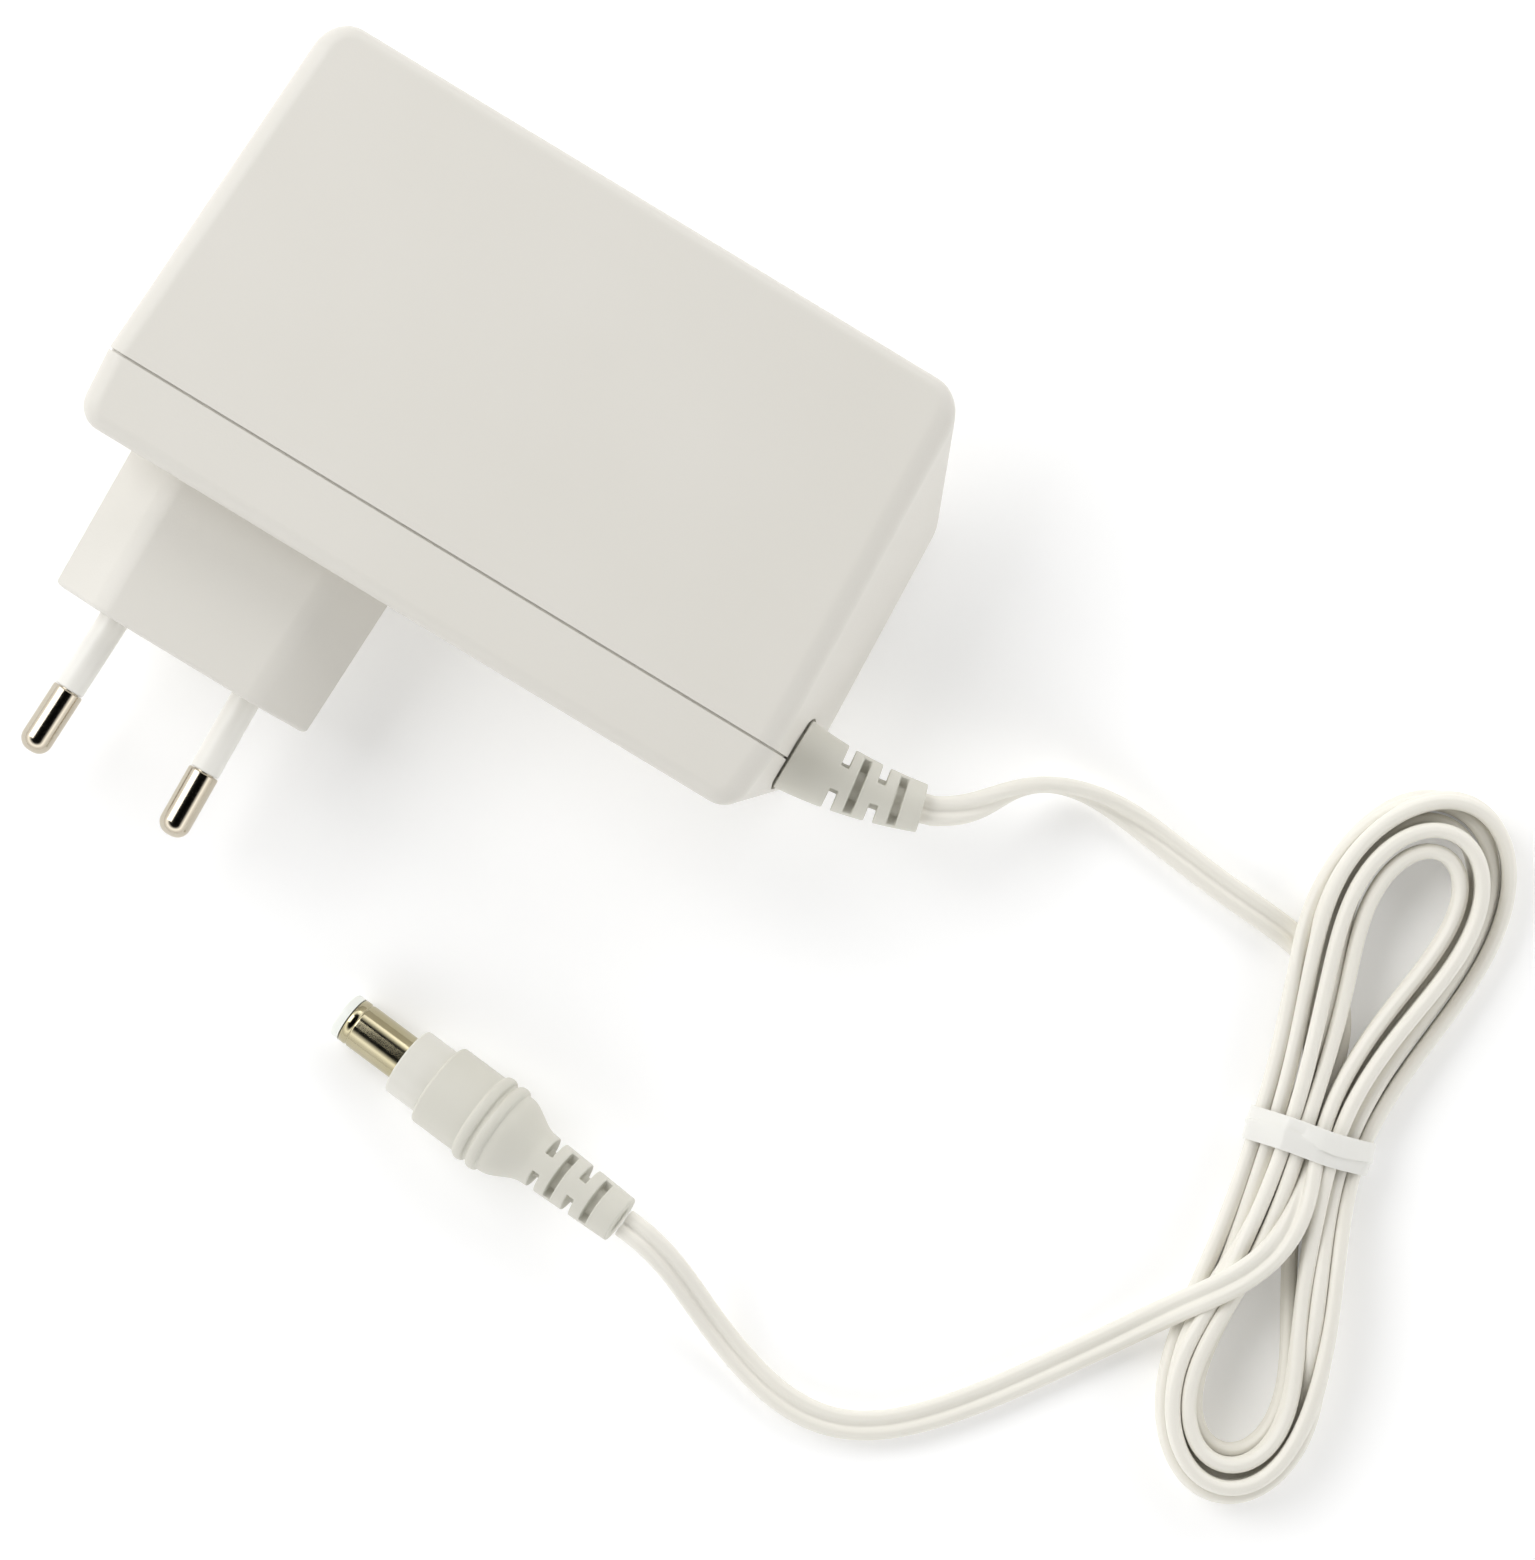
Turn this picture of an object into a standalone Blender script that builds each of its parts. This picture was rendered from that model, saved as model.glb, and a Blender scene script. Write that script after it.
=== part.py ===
"""Plug-in power adapter with a flat twin cord, a tied hank and a round DC plug.

The case lies flat on its underside. In the case's own frame X runs along the case towards the
cord, Y runs from the mains pins (front) to the back, and Z is up. Y = 0 is the seam between the
two case shells and X = 0 is the middle of the top face. At the end everything is moved so that
the world origin is under the middle of the case and its pins.
"""

import math

import bmesh
import bpy
import numpy as np
from mathutils import Vector

MM = 0.001

# Gap that is left between pieces that touch.
GAP = 0.3 * MM

# Case.
CASE_LENGTH = 92.8 * MM
CASE_HEIGHT = 30.0 * MM
REAR_DEPTH = 48.8 * MM
FRONT_DEPTH = 9.6 * MM
REAR_TAPER = 2.4 * MM
FRONT_TAPER = 0.8 * MM
REAR_LEAN = 12.5 * MM
FRONT_LEAN = 6.0 * MM
RIGHT_LEAN = 5.0 * MM
WALL = 2.2 * MM
EDGE_ROUND = 2.5 * MM
BACK_CORNER = 4.0 * MM
FRONT_CORNER = 3.0 * MM
LIP_WALL = 1.1 * MM
LIP_REACH = 2.5 * MM
LIP_ROOT = 3.0 * MM

# Plug nose and pins, a two-pole 2.5 A plug.
NOSE_CENTRE_X = -21.0 * MM
NOSE_WIDTH = 35.3 * MM
NOSE_FLAT = 22.0 * MM
NOSE_THICKNESS = 13.7 * MM
NOSE_REACH = 27.75 * MM
NOSE_DRAFT = 0.5 * MM
NOSE_WALL = 2.0 * MM
NOSE_PLATE = 3.0 * MM
NOSE_CREASE = 1.0 * MM
PIN_BASE_SPACING = 18.6 * MM
PIN_TIP_SPACING = 17.5 * MM
PIN_LENGTH = 19.0 * MM
PIN_DIAMETER = 4.0 * MM
PIN_CORE = 2.6 * MM
SLEEVE_DIAMETER = 3.8 * MM
SLEEVE_LENGTH = 10.0 * MM
PIN_TAIL = 11.0 * MM
CARRIER_DEPTH = 5.0 * MM
CARRIER_WIDTH = 23.4 * MM
CARRIER_HEIGHT = 6.0 * MM

# Circuit board, and where its parts stand on it.
BOARD_THICKNESS = 1.6 * MM
BOARD_BOTTOM = 8.0 * MM
BOARD_CENTRE_X = 1.0 * MM
BOARD_END_ROOM = 2.2 * MM
BOARD_FRONT_ROOM = 1.5 * MM
BOARD_BACK_ROOM = 1.75 * MM
RAIL_INSET = 5.0 * MM
RAIL_WIDTH = 2.0 * MM
RAIL_END_ROOM = 4.0 * MM
SHEET_THICKNESS = 0.4 * MM

# Room that the tall parts leave below the case's top.
BULK_ROOM = 0.5 * MM
HEATSINK_ROOM = 1.9 * MM
TAB_ROOM = 2.5 * MM
TRANSFORMER_ROOM = 2.0 * MM
# Height of the bobbin's flange and winding above, and below, the transformer's core.
WINDING_BUILD = 4.95 * MM
OUTPUT_ROOM = 3.9 * MM

# Strain relief on the case, with its bend towards the back.
RELIEF_Y = 0.9 * MM
RELIEF_SEAT_DEPTH = 0.45 * MM
RELIEF_LENGTH = 17.1 * MM
RELIEF_BASE = 9.4 * MM
RELIEF_END = 6.0 * MM
RELIEF_BEND = math.radians(16.5)
RELIEF_NECK = 6.6 * MM
RELIEF_FLANGE = 9.6 * MM
RELIEF_FLANGE_THICKNESS = 1.6 * MM
RELIEF_SLOTS = (6.4 * MM, 8.8 * MM, 11.4 * MM, 14.0 * MM)
SLOT_WIDTH = 0.8 * MM
SLOT_BRIDGE = 2.2 * MM
SLOT_SIDE = 0.7 * MM

# Cord: two round cores side by side, and its hank. The cord's solids stay plain.
CORD_WIDTH = 3.7 * MM
CORD_THICKNESS = 1.9 * MM
CORD_TUBE = 2.6 * MM
HANK_BOTTOM = 0.9 * MM
HANK_TOP = 8.4 * MM
TIE_WIDTH = 4.2 * MM
TIE_THICKNESS = 0.5 * MM
TIE_PLACE = (127.2 * MM, -6.9 * MM)
TIE_TURN = math.radians(14.0)
TIE_SPAN = 15.8 * MM

# DC plug, measured from its tip towards the cord.
PLUG_TIP = (17.9 * MM, -55.0 * MM)
PLUG_HEADING = math.radians(-4.9)
BARREL_DIAMETER = 6.0 * MM
BARREL_BORE = 3.4 * MM
CONTACT_BORE = 2.2 * MM
TIP_RING = 1.2 * MM
CONTACT_START = 2.0 * MM
CONTACT_BACK = 1.5 * MM
COLLAR_START = 9.8 * MM
COLLAR_DIAMETER = 9.0 * MM
GRIP_START = 14.6 * MM
GRIP_DIAMETER = 11.0 * MM
RING_PLACES = (21.9 * MM, 23.9 * MM)
RING_DIAMETER = 12.0 * MM
TAIL_START = 30.2 * MM
TAIL_DIAMETER = 7.2 * MM
TAIL_END_DIAMETER = 6.2 * MM
PLUG_LENGTH = 42.8 * MM
TAIL_SLOTS = (31.5 * MM, 34.0 * MM, 36.7 * MM, 39.3 * MM)

# Routes of the cord's free stretches, in the case's frame, in mm.
LEAD_FROM_CASE = (
    (66.0, 3.6, 15.0), (67.9, 4.2, 14.8), (70.0, 5.9, 13.6), (71.9, 8.6, 11.4), (74.0, 11.4, 8.6),
    (76.4, 13.6, 6.0), (79.4, 15.0, 4.1), (82.8, 15.8, 3.0), (86.6, 15.9, 2.4), (91.1, 15.5, 2.1),
    (95.8, 15.0, 2.0), (100.4, 14.5, 2.0), (105.0, 14.1, 2.0), (108.6, 13.8, 2.0),
    (112.15, 13.6, 2.0),
)
LEAD_TO_PLUG = (
    (123.6, -33.4, 4.4), (121.6, -37.0, 2.6), (118.4, -41.9, 2.1), (114.7, -47.3, 2.1),
    (110.9, -52.8, 2.1), (106.8, -58.1, 2.1), (102.4, -62.6, 2.1), (99.4, -65.1, 2.1),
    (96.2, -66.8, 2.1), (92.4, -67.7, 2.1), (87.4, -67.5, 2.1), (81.4, -66.0, 2.1),
    (76.6, -64.2, 3.2), (72.6, -62.4, 5.4), (69.2, -60.8, 8.0), (66.2, -59.6, 10.0),
    (63.4, -58.95, 10.9), (60.5, -58.65, 10.6),
)
# Outer shape of the hank, seen from above, in mm.
HANK_OUTLINE = (
    (118.8, 38.6), (125.6, 39.3), (130.5, 35.4), (133.5, 28.6), (135.3, 18.2), (135.0, 6.9),
    (134.0, -4.0), (135.4, -11.4), (139.8, -18.5), (144.0, -28.3), (146.5, -38.3), (146.0, -45.8),
    (142.9, -50.6), (137.2, -51.2), (131.4, -47.5), (127.0, -40.3), (124.6, -30.5), (122.6, -20.7),
    (120.9, -10.9), (118.4, -0.8), (114.2, 9.6), (111.8, 18.2), (111.7, 26.8), (114.2, 34.4),
)


# ---- scene and materials


def clear_scene():
    for obj in list(bpy.data.objects):
        bpy.data.objects.remove(obj, do_unlink=True)


def material(name, colour, roughness, metallic=0.0):
    made = bpy.data.materials.new(name)
    made.use_nodes = True
    shader = made.node_tree.nodes["Principled BSDF"]
    shader.inputs["Base Color"].default_value = (*colour, 1.0)
    shader.inputs["Roughness"].default_value = roughness
    shader.inputs["Metallic"].default_value = metallic
    made.diffuse_color = (*colour, 1.0)
    return made


def all_materials():
    return {
        "case_plastic": material("case_plastic", (0.76, 0.75, 0.70), 0.45),
        "soft_pvc": material("soft_pvc", (0.72, 0.71, 0.64), 0.5),
        "tie_plastic": material("tie_plastic", (0.86, 0.86, 0.84), 0.3),
        "sleeve_plastic": material("sleeve_plastic", (0.8, 0.8, 0.79), 0.35),
        "nickel": material("nickel", (0.55, 0.53, 0.48), 0.15, 1.0),
        "copper": material("copper", (0.75, 0.4, 0.22), 0.35, 1.0),
        "aluminium": material("aluminium", (0.75, 0.75, 0.76), 0.4, 1.0),
        "board": material("board", (0.28, 0.22, 0.07), 0.5),
        "fish_paper": material("fish_paper", (0.62, 0.64, 0.6), 0.6),
        "ferrite": material("ferrite", (0.05, 0.05, 0.055), 0.6),
        "winding_tape": material("winding_tape", (0.72, 0.55, 0.08), 0.4),
        "bobbin": material("bobbin", (0.05, 0.05, 0.05), 0.5),
        "black_epoxy": material("black_epoxy", (0.02, 0.02, 0.02), 0.5),
        "can_sleeve": material("can_sleeve", (0.03, 0.05, 0.14), 0.35),
        "yellow_case": material("yellow_case", (0.75, 0.6, 0.08), 0.4),
        "blue_epoxy": material("blue_epoxy", (0.05, 0.16, 0.5), 0.35),
        "brown_wire": material("brown_wire", (0.2, 0.08, 0.03), 0.45),
        "blue_wire": material("blue_wire", (0.04, 0.12, 0.42), 0.45),
        "red_wire": material("red_wire", (0.5, 0.03, 0.03), 0.45),
        "black_wire": material("black_wire", (0.02, 0.02, 0.02), 0.45),
    }


# ---- mesh helpers


def frame(name, location=(0.0, 0.0, 0.0), rotation=(0.0, 0.0, 0.0), parent=None):
    """An empty that carries pieces."""
    empty = bpy.data.objects.new(name, None)
    bpy.context.scene.collection.objects.link(empty)
    empty.parent = parent
    empty.location = location
    empty.rotation_euler = rotation
    return empty


def add_object(name, bm, finish, parent, smooth=True):
    bmesh.ops.recalc_face_normals(bm, faces=bm.faces)
    mesh = bpy.data.meshes.new(name)
    bm.to_mesh(mesh)
    bm.free()
    if smooth:
        mesh.shade_smooth()
        mesh.set_sharp_from_angle(angle=math.radians(35))
    obj = bpy.data.objects.new(name, mesh)
    bpy.context.scene.collection.objects.link(obj)
    obj.parent = parent
    mesh.materials.append(finish)
    return obj


def helper(obj):
    """Marks an object as a cutter or a guide."""
    obj.hide_render = True
    obj.display_type = "WIRE"
    return obj


def boolean(target, other, operation):
    modifier = target.modifiers.new(other.name, "BOOLEAN")
    modifier.operation = operation
    modifier.solver = "EXACT"
    modifier.object = helper(other)


def cut(target, *others):
    for other in others:
        boolean(target, other, "DIFFERENCE")


def fuse(target, *others):
    for other in others:
        boolean(target, other, "UNION")


def box_mesh(low, high):
    low, high = Vector(low), Vector(high)
    bm = bmesh.new()
    bmesh.ops.create_cube(bm, size=1.0)
    bmesh.ops.scale(bm, vec=high - low, verts=bm.verts)
    bmesh.ops.translate(bm, vec=(low + high) / 2, verts=bm.verts)
    return bm


def box(name, low, high, finish, parent, rounded=0.0):
    obj = add_object(name, box_mesh(low, high), finish, parent)
    if rounded:
        bevel = obj.modifiers.new("rounding", "BEVEL")
        bevel.width = rounded
        bevel.segments = 2
    return obj


def turned_mesh(profile, axis, steps=24, loop=False):
    """Turns (along, radius) points round an axis, X, Y or Z. A loop is a hollow ring's section."""
    turn = {"X": (0, 1, 2), "Y": (2, 0, 1), "Z": (1, 2, 0)}[axis]
    bm = bmesh.new()
    verts = []
    for along, radius in profile:
        flat = (along, radius, 0.0)
        verts.append(bm.verts.new([flat[i] for i in turn]))
    edges = [bm.edges.new(pair) for pair in zip(verts, verts[1:])]
    if loop:
        edges.append(bm.edges.new((verts[-1], verts[0])))
    bmesh.ops.spin(
        bm, geom=verts + edges, cent=(0, 0, 0), axis=[float(i == 0) for i in turn],
        angle=math.tau, steps=steps, use_merge=True,
    )
    bmesh.ops.remove_doubles(bm, verts=bm.verts, dist=1e-7)
    return bm


def turned(name, profile, axis, place, finish, parent, steps=24, loop=False):
    bm = turned_mesh(profile, axis, steps, loop)
    bmesh.ops.translate(bm, vec=place, verts=bm.verts)
    return add_object(name, bm, finish, parent)


def rod(name, axis, start, length, radius, finish, parent, steps=16):
    profile = ((0.0, 0.0), (0.0, radius), (length, radius), (length, 0.0))
    return turned(name, profile, axis, start, finish, parent, steps)


def prism_mesh(outline, axis, low, high):
    """Extrudes a flat outline along an axis. The outline's two values are the other two axes."""
    where = {"X": 0, "Y": 1, "Z": 2}[axis]
    bm = bmesh.new()
    verts = []
    for point in outline:
        place = list(point)
        place.insert(where, low)
        verts.append(bm.verts.new(place))
    face = bm.faces.new(verts)
    made = bmesh.ops.extrude_face_region(bm, geom=[face])
    along = [0.0, 0.0, 0.0]
    along[where] = high - low
    moved = [item for item in made["geom"] if isinstance(item, bmesh.types.BMVert)]
    bmesh.ops.translate(bm, vec=along, verts=moved)
    return bm


def smooth_route(points, spacing):
    """Points at an even spacing on a smooth curve through the given ones (Catmull-Rom)."""
    given = np.array(points, float)
    ends = (2 * given[0] - given[1], 2 * given[-1] - given[-2])
    padded = np.vstack([ends[0], given, ends[1]])
    fine = []
    for a, b, c, d in zip(padded, padded[1:], padded[2:], padded[3:]):
        for t in np.linspace(0.0, 1.0, 12, endpoint=False):
            fine.append(0.5 * (2 * b + (c - a) * t + (2 * a - 5 * b + 4 * c - d) * t**2
                               + (3 * b - a - 3 * c + d) * t**3))
    fine.append(given[-1])
    fine = np.array(fine)
    run = np.concatenate([[0.0], np.cumsum(np.linalg.norm(np.diff(fine, axis=0), axis=1))])
    count = max(3, round(run[-1] / spacing) + 1)
    places = np.linspace(0.0, run[-1], count)
    return np.column_stack([np.interp(places, run, fine[:, i]) for i in range(3)])


def tube(name, points, diameter, finish, parent, spacing=2.0):
    """A plain round tube along the points, which are in mm, with a point every few diameters."""
    curve = bpy.data.curves.new(name, "CURVE")
    curve.dimensions = "3D"
    curve.bevel_depth = diameter / 2
    curve.bevel_resolution = 2
    curve.use_fill_caps = True
    spline = curve.splines.new("POLY")
    route = smooth_route(points, spacing * diameter / MM) * MM
    spline.points.add(len(route) - 1)
    for point, place in zip(spline.points, route):
        point.co = (*place, 1.0)
    curve.materials.append(finish)
    obj = bpy.data.objects.new(name, curve)
    bpy.context.scene.collection.objects.link(obj)
    obj.parent = parent
    return obj


# ---- case shells


def plane(a, b, c, inside, inset):
    """Outward normal and offset of the plane through three points, moved inward by inset."""
    normal = (Vector(b) - Vector(a)).cross(Vector(c) - Vector(a)).normalized()
    if normal.dot(Vector(inside) - Vector(a)) > 0:
        normal = -normal
    return np.array(normal), normal.dot(Vector(a)) - inset


def half_block(side, inset, seam_y, end_y=None, corner=0.0, rounding=0.0):
    """One half of the case as a solid block: side 1 is the rear half and -1 the front half.

    Its walls are moved inward by inset, it starts at seam_y, and end_y overrides its far end.
    """
    depth, lean, taper = {
        1: (REAR_DEPTH, REAR_LEAN, REAR_TAPER),
        -1: (FRONT_DEPTH, FRONT_LEAN, FRONT_TAPER),
    }[side]
    half = CASE_LENGTH / 2
    top = CASE_HEIGHT
    inside = (0.0, side * depth / 3, top / 2)
    end_top, end_bottom = side * depth, side * (depth - lean)
    walls = {
        "left": plane((-half, 0, top), (-half, 0, 0), (taper - half, end_top, top), inside, inset),
        "right": plane((half, 0, top), (half + RIGHT_LEAN, 0, 0), (half - taper, end_top, top),
                       inside, inset),
        "end": plane((0, end_top, top), (1, end_top, top), (0, end_bottom, 0), inside, inset),
        "seam": (np.array((0.0, -side, 0.0)), -side * seam_y),
        "top": (np.array((0.0, 0.0, 1.0)), top - inset),
        "bottom": (np.array((0.0, 0.0, -1.0)), -inset),
    }
    if end_y is not None:
        walls["end"] = (np.array((0.0, side, 0.0)), side * end_y)
    bm = bmesh.new()
    bmesh.ops.create_cube(bm, size=2.0)
    for vert in bm.verts:
        names = (
            "left" if vert.co.x < 0 else "right",
            "end" if vert.co.y * side > 0 else "seam",
            "bottom" if vert.co.z < 0 else "top",
        )
        normals, offsets = zip(*(walls[name] for name in names))
        vert.co = np.linalg.solve(np.array(normals), np.array(offsets))
    if corner:
        upright = [e for e in bm.edges if off_seam(e, seam_y) and spans_height(e)]
        bmesh.ops.bevel(bm, geom=upright, offset=corner, segments=3, profile=0.5,
                        affect="EDGES", material=-1)
    if rounding:
        rims = [e for e in bm.edges if not on_seam(e, seam_y) and on_top_or_bottom(e)]
        bmesh.ops.bevel(bm, geom=rims, offset=rounding, segments=3, profile=0.5,
                        affect="EDGES", material=-1)
    return bm


def on_seam(edge, seam_y):
    return all(abs(v.co.y - seam_y) < 1e-6 for v in edge.verts)


def off_seam(edge, seam_y):
    return all(abs(v.co.y - seam_y) > 1e-6 for v in edge.verts)


def spans_height(edge):
    return abs(edge.verts[0].co.z - edge.verts[1].co.z) > CASE_HEIGHT / 2


def on_top_or_bottom(edge):
    heights = [v.co.z for v in edge.verts]
    return max(heights) < 1e-6 or min(heights) > CASE_HEIGHT - 1e-6


def relief_hole(name, clearance, finish, parent):
    """Cutter for the neck, the inner flange and the flat seat of the strain relief."""
    neck = RELIEF_NECK / 2 + clearance
    flange = RELIEF_FLANGE / 2 + clearance
    seat = RELIEF_BASE / 2 + clearance
    back = relief_flange_x() - clearance
    front = relief_flange_x() + RELIEF_FLANGE_THICKNESS + clearance
    profile = (
        (back, 0.0), (back, flange), (front, flange), (front, neck),
        (relief_face_x() - clearance, neck), (relief_face_x() - clearance, seat),
        (relief_face_x() + RIGHT_LEAN, seat), (relief_face_x() + RIGHT_LEAN, 0.0),
    )
    return turned(name, profile, "X", (0, RELIEF_Y, CASE_HEIGHT / 2), finish, parent, steps=24)


def relief_face_x():
    """Floor of the flat seat that the taper stands on, just below the right wall's face."""
    return CASE_LENGTH / 2 + RIGHT_LEAN / 2 - RELIEF_SEAT_DEPTH


def relief_flange_x():
    """Inner face of the flange: it stands just inside the thick rim of the case."""
    return CASE_LENGTH / 2 - WALL - LIP_WALL


def nose_mesh(inset, front, back):
    """Six-sided nose between two Y places, wider at its root by its draft."""
    middle = CASE_HEIGHT / 2

    def outline(grow):
        wide = NOSE_WIDTH / 2 - inset + grow
        flat = NOSE_FLAT / 2 - inset * 0.41 + grow * 0.7
        thick = NOSE_THICKNESS / 2 - inset + grow * 0.7
        return ((-wide, 0), (-flat, thick), (flat, thick), (wide, 0), (flat, -thick),
                (-flat, -thick))

    span = NOSE_REACH - FRONT_DEPTH
    bm = bmesh.new()
    loops = []
    for y in (front, back):
        grow = NOSE_DRAFT * (y + NOSE_REACH) / span
        ring = [bm.verts.new((NOSE_CENTRE_X + x, y, middle + z)) for x, z in outline(grow)]
        bm.faces.new(ring)
        loops.append(ring)
    for i in range(6):
        j = (i + 1) % 6
        bm.faces.new((loops[0][i], loops[0][j], loops[1][j], loops[1][i]))
    bmesh.ops.recalc_face_normals(bm, faces=bm.faces)
    if not inset:
        creases = [e for e in bm.edges
                   if abs(e.verts[0].co.y - e.verts[1].co.y) > span / 2
                   and abs(e.verts[0].co.z - middle) > NOSE_CREASE]
        bmesh.ops.bevel(bm, geom=creases, offset=NOSE_CREASE, segments=2, profile=0.5,
                        affect="EDGES", material=-1)
    return bm


def nose_root():
    """How far back the nose runs into the front wall."""
    return FRONT_LEAN - FRONT_DEPTH - WALL / 2


def pin_places():
    """(name, X at the nose face, sideways turn) of the two pins, which lean together."""
    lean = math.atan((PIN_BASE_SPACING - PIN_TIP_SPACING) / 2 / PIN_LENGTH)
    for name, sign in (("left", -1), ("right", 1)):
        yield name, NOSE_CENTRE_X + sign * PIN_BASE_SPACING / 2, sign * lean


def pin_hole(name, radius, low, high, x, lean, finish, parent):
    hole = rod(name, "Y", (0, low, 0), high - low, radius, finish, parent)
    hole.location = (x, -NOSE_REACH, CASE_HEIGHT / 2)
    hole.rotation_euler = (0, 0, lean)
    return hole


def front_cover(mats, parent):
    """Shallow front tray with the nose, and a lip that enters the rear shell."""
    finish = mats["case_plastic"]
    block = half_block(-1, 0.0, -GAP / 2, corner=FRONT_CORNER, rounding=EDGE_ROUND)
    cover = add_object("front_cover", block, finish, parent)
    lip = add_object(
        "lip_block", half_block(1, WALL + GAP, -LIP_ROOT, end_y=LIP_REACH), finish, parent)
    nose = add_object("nose_block", nose_mesh(0.0, -NOSE_REACH, nose_root()), finish, parent)
    thick = WALL + GAP + LIP_WALL
    room = add_object("cover_room", half_block(-1, thick, LIP_REACH + MM), finish, parent)
    room_back = add_object(
        "lip_room", half_block(1, thick, -LIP_ROOT, end_y=LIP_REACH + MM), finish, parent)
    nose_room = add_object(
        "nose_room", nose_mesh(NOSE_WALL, NOSE_PLATE - NOSE_REACH, 0.0), finish, parent)
    fuse(cover, lip, nose)
    cut(cover, room, room_back, nose_room)
    for name, x, lean in pin_places():
        cut(cover, pin_hole("hole_" + name, SLEEVE_DIAMETER / 2 + GAP, -MM, NOSE_PLATE + MM,
                            x, lean, finish, parent))
    cut(cover, relief_hole("cover_relief_hole", GAP, finish, parent))
    return cover


def rear_housing(mats, parent):
    """Deep rear shell, with two rails on its floor under the circuit board."""
    finish = mats["case_plastic"]
    block = half_block(1, 0.0, GAP / 2, corner=BACK_CORNER, rounding=EDGE_ROUND)
    shell = add_object("rear_housing", block, finish, parent)
    room = add_object("rear_room", half_block(1, WALL, -MM), finish, parent)
    cut(shell, room)
    for name, sign in (("left", -1), ("right", 1)):
        x = BOARD_CENTRE_X + sign * rail_reach()
        fuse(shell, box("rail_" + name, (x - RAIL_WIDTH / 2, LIP_REACH + MM, WALL / 2),
                        (x + RAIL_WIDTH / 2, board_back() - RAIL_END_ROOM, BOARD_BOTTOM - GAP),
                        finish, parent))
    cut(shell, relief_hole("rear_relief_hole", GAP, finish, parent))
    return shell


# ---- mains pins


def mains_pins(mats, parent):
    middle = CASE_HEIGHT / 2
    core, head = PIN_CORE / 2, PIN_DIAMETER / 2
    neck = -SLEEVE_LENGTH - GAP
    profile = [(PIN_TAIL, 0.0), (PIN_TAIL, core), (neck, core), (neck, head)]
    tip = 0.8 * head
    for angle in np.linspace(0.0, math.pi / 2, 5):
        profile.append((-PIN_LENGTH + tip * (1 - math.sin(angle)),
                        head - tip * (1 - math.cos(angle))))
    profile.append((-PIN_LENGTH, 0.0))
    bore = core + GAP
    sleeve = ((NOSE_PLATE, bore), (NOSE_PLATE, SLEEVE_DIAMETER / 2),
              (-SLEEVE_LENGTH, SLEEVE_DIAMETER / 2), (-SLEEVE_LENGTH, bore))
    start = NOSE_PLATE - NOSE_REACH + GAP
    carrier = box("pin_carrier",
                  (NOSE_CENTRE_X - CARRIER_WIDTH / 2, start, middle - CARRIER_HEIGHT / 2),
                  (NOSE_CENTRE_X + CARRIER_WIDTH / 2, start + CARRIER_DEPTH,
                   middle + CARRIER_HEIGHT / 2), mats["sleeve_plastic"], parent)
    for name, x, lean in pin_places():
        pin = turned("plug_pin_" + name, profile, "Y", (0, 0, 0), mats["nickel"], parent)
        cover = turned("pin_sleeve_" + name, sleeve, "Y", (0, 0, 0), mats["sleeve_plastic"],
                       parent, loop=True)
        for obj in (pin, cover):
            obj.location = (x, -NOSE_REACH, middle)
            obj.rotation_euler = (0, 0, lean)
        cut(carrier, pin_hole("carrier_hole_" + name, bore, NOSE_PLATE - MM,
                              NOSE_PLATE + CARRIER_DEPTH + MM, x, lean,
                              mats["sleeve_plastic"], parent))


def mains_leads(mats, parent):
    """Insulated wires from the pins' tails to the board."""
    height = CASE_HEIGHT / 2 / MM
    for (name, x, lean), colour in zip(pin_places(), ("brown_wire", "blue_wire")):
        start = Vector((x, -NOSE_REACH + PIN_TAIL + GAP, 0)) / MM
        x_mm = start.x - math.sin(lean) * PIN_TAIL / MM
        points = (
            (x_mm, start.y, height), (x_mm, start.y + 4, height),
            (x_mm, -6.0, height + 1.0), (x_mm, -1.5, height),
            (x_mm, 1.5, board_top() / MM + 3.4), (x_mm, 1.8, board_top() / MM + 1.6),
            (x_mm, 1.8, (board_top() + GAP) / MM),
        )
        tube("mains_lead_" + name, points, 1.6 * MM, mats[colour], parent, spacing=0.8)


# ---- circuit board and its parts


def board_top():
    return BOARD_BOTTOM + BOARD_THICKNESS


def board_back():
    """The board's back edge, short of the inner face of the leaning rear wall."""
    wall = WALL * math.hypot(CASE_HEIGHT, REAR_LEAN) / CASE_HEIGHT
    lean = REAR_LEAN * (CASE_HEIGHT - BOARD_BOTTOM) / CASE_HEIGHT
    return REAR_DEPTH - lean - wall - BOARD_BACK_ROOM


def board_reach():
    return CASE_LENGTH / 2 - WALL - BOARD_END_ROOM


def rail_reach():
    return board_reach() - RAIL_INSET


def headroom():
    """Free height from the feet of the board's parts to the inside of the case's top."""
    return CASE_HEIGHT - WALL - board_top() - GAP


def circuit_board(mats, parent):
    half = board_reach()
    box("circuit_board", (BOARD_CENTRE_X - half, BOARD_FRONT_ROOM - LIP_ROOT, BOARD_BOTTOM),
        (BOARD_CENTRE_X + half, board_back(), board_top()), mats["board"], parent)
    inner = rail_reach() - RAIL_WIDTH / 2 - GAP
    floor = WALL + GAP
    box("insulating_sheet", (BOARD_CENTRE_X - inner, LIP_REACH + MM, floor),
        (BOARD_CENTRE_X + inner, board_back() - RAIL_END_ROOM, floor + SHEET_THICKNESS),
        mats["fish_paper"], parent)


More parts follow.
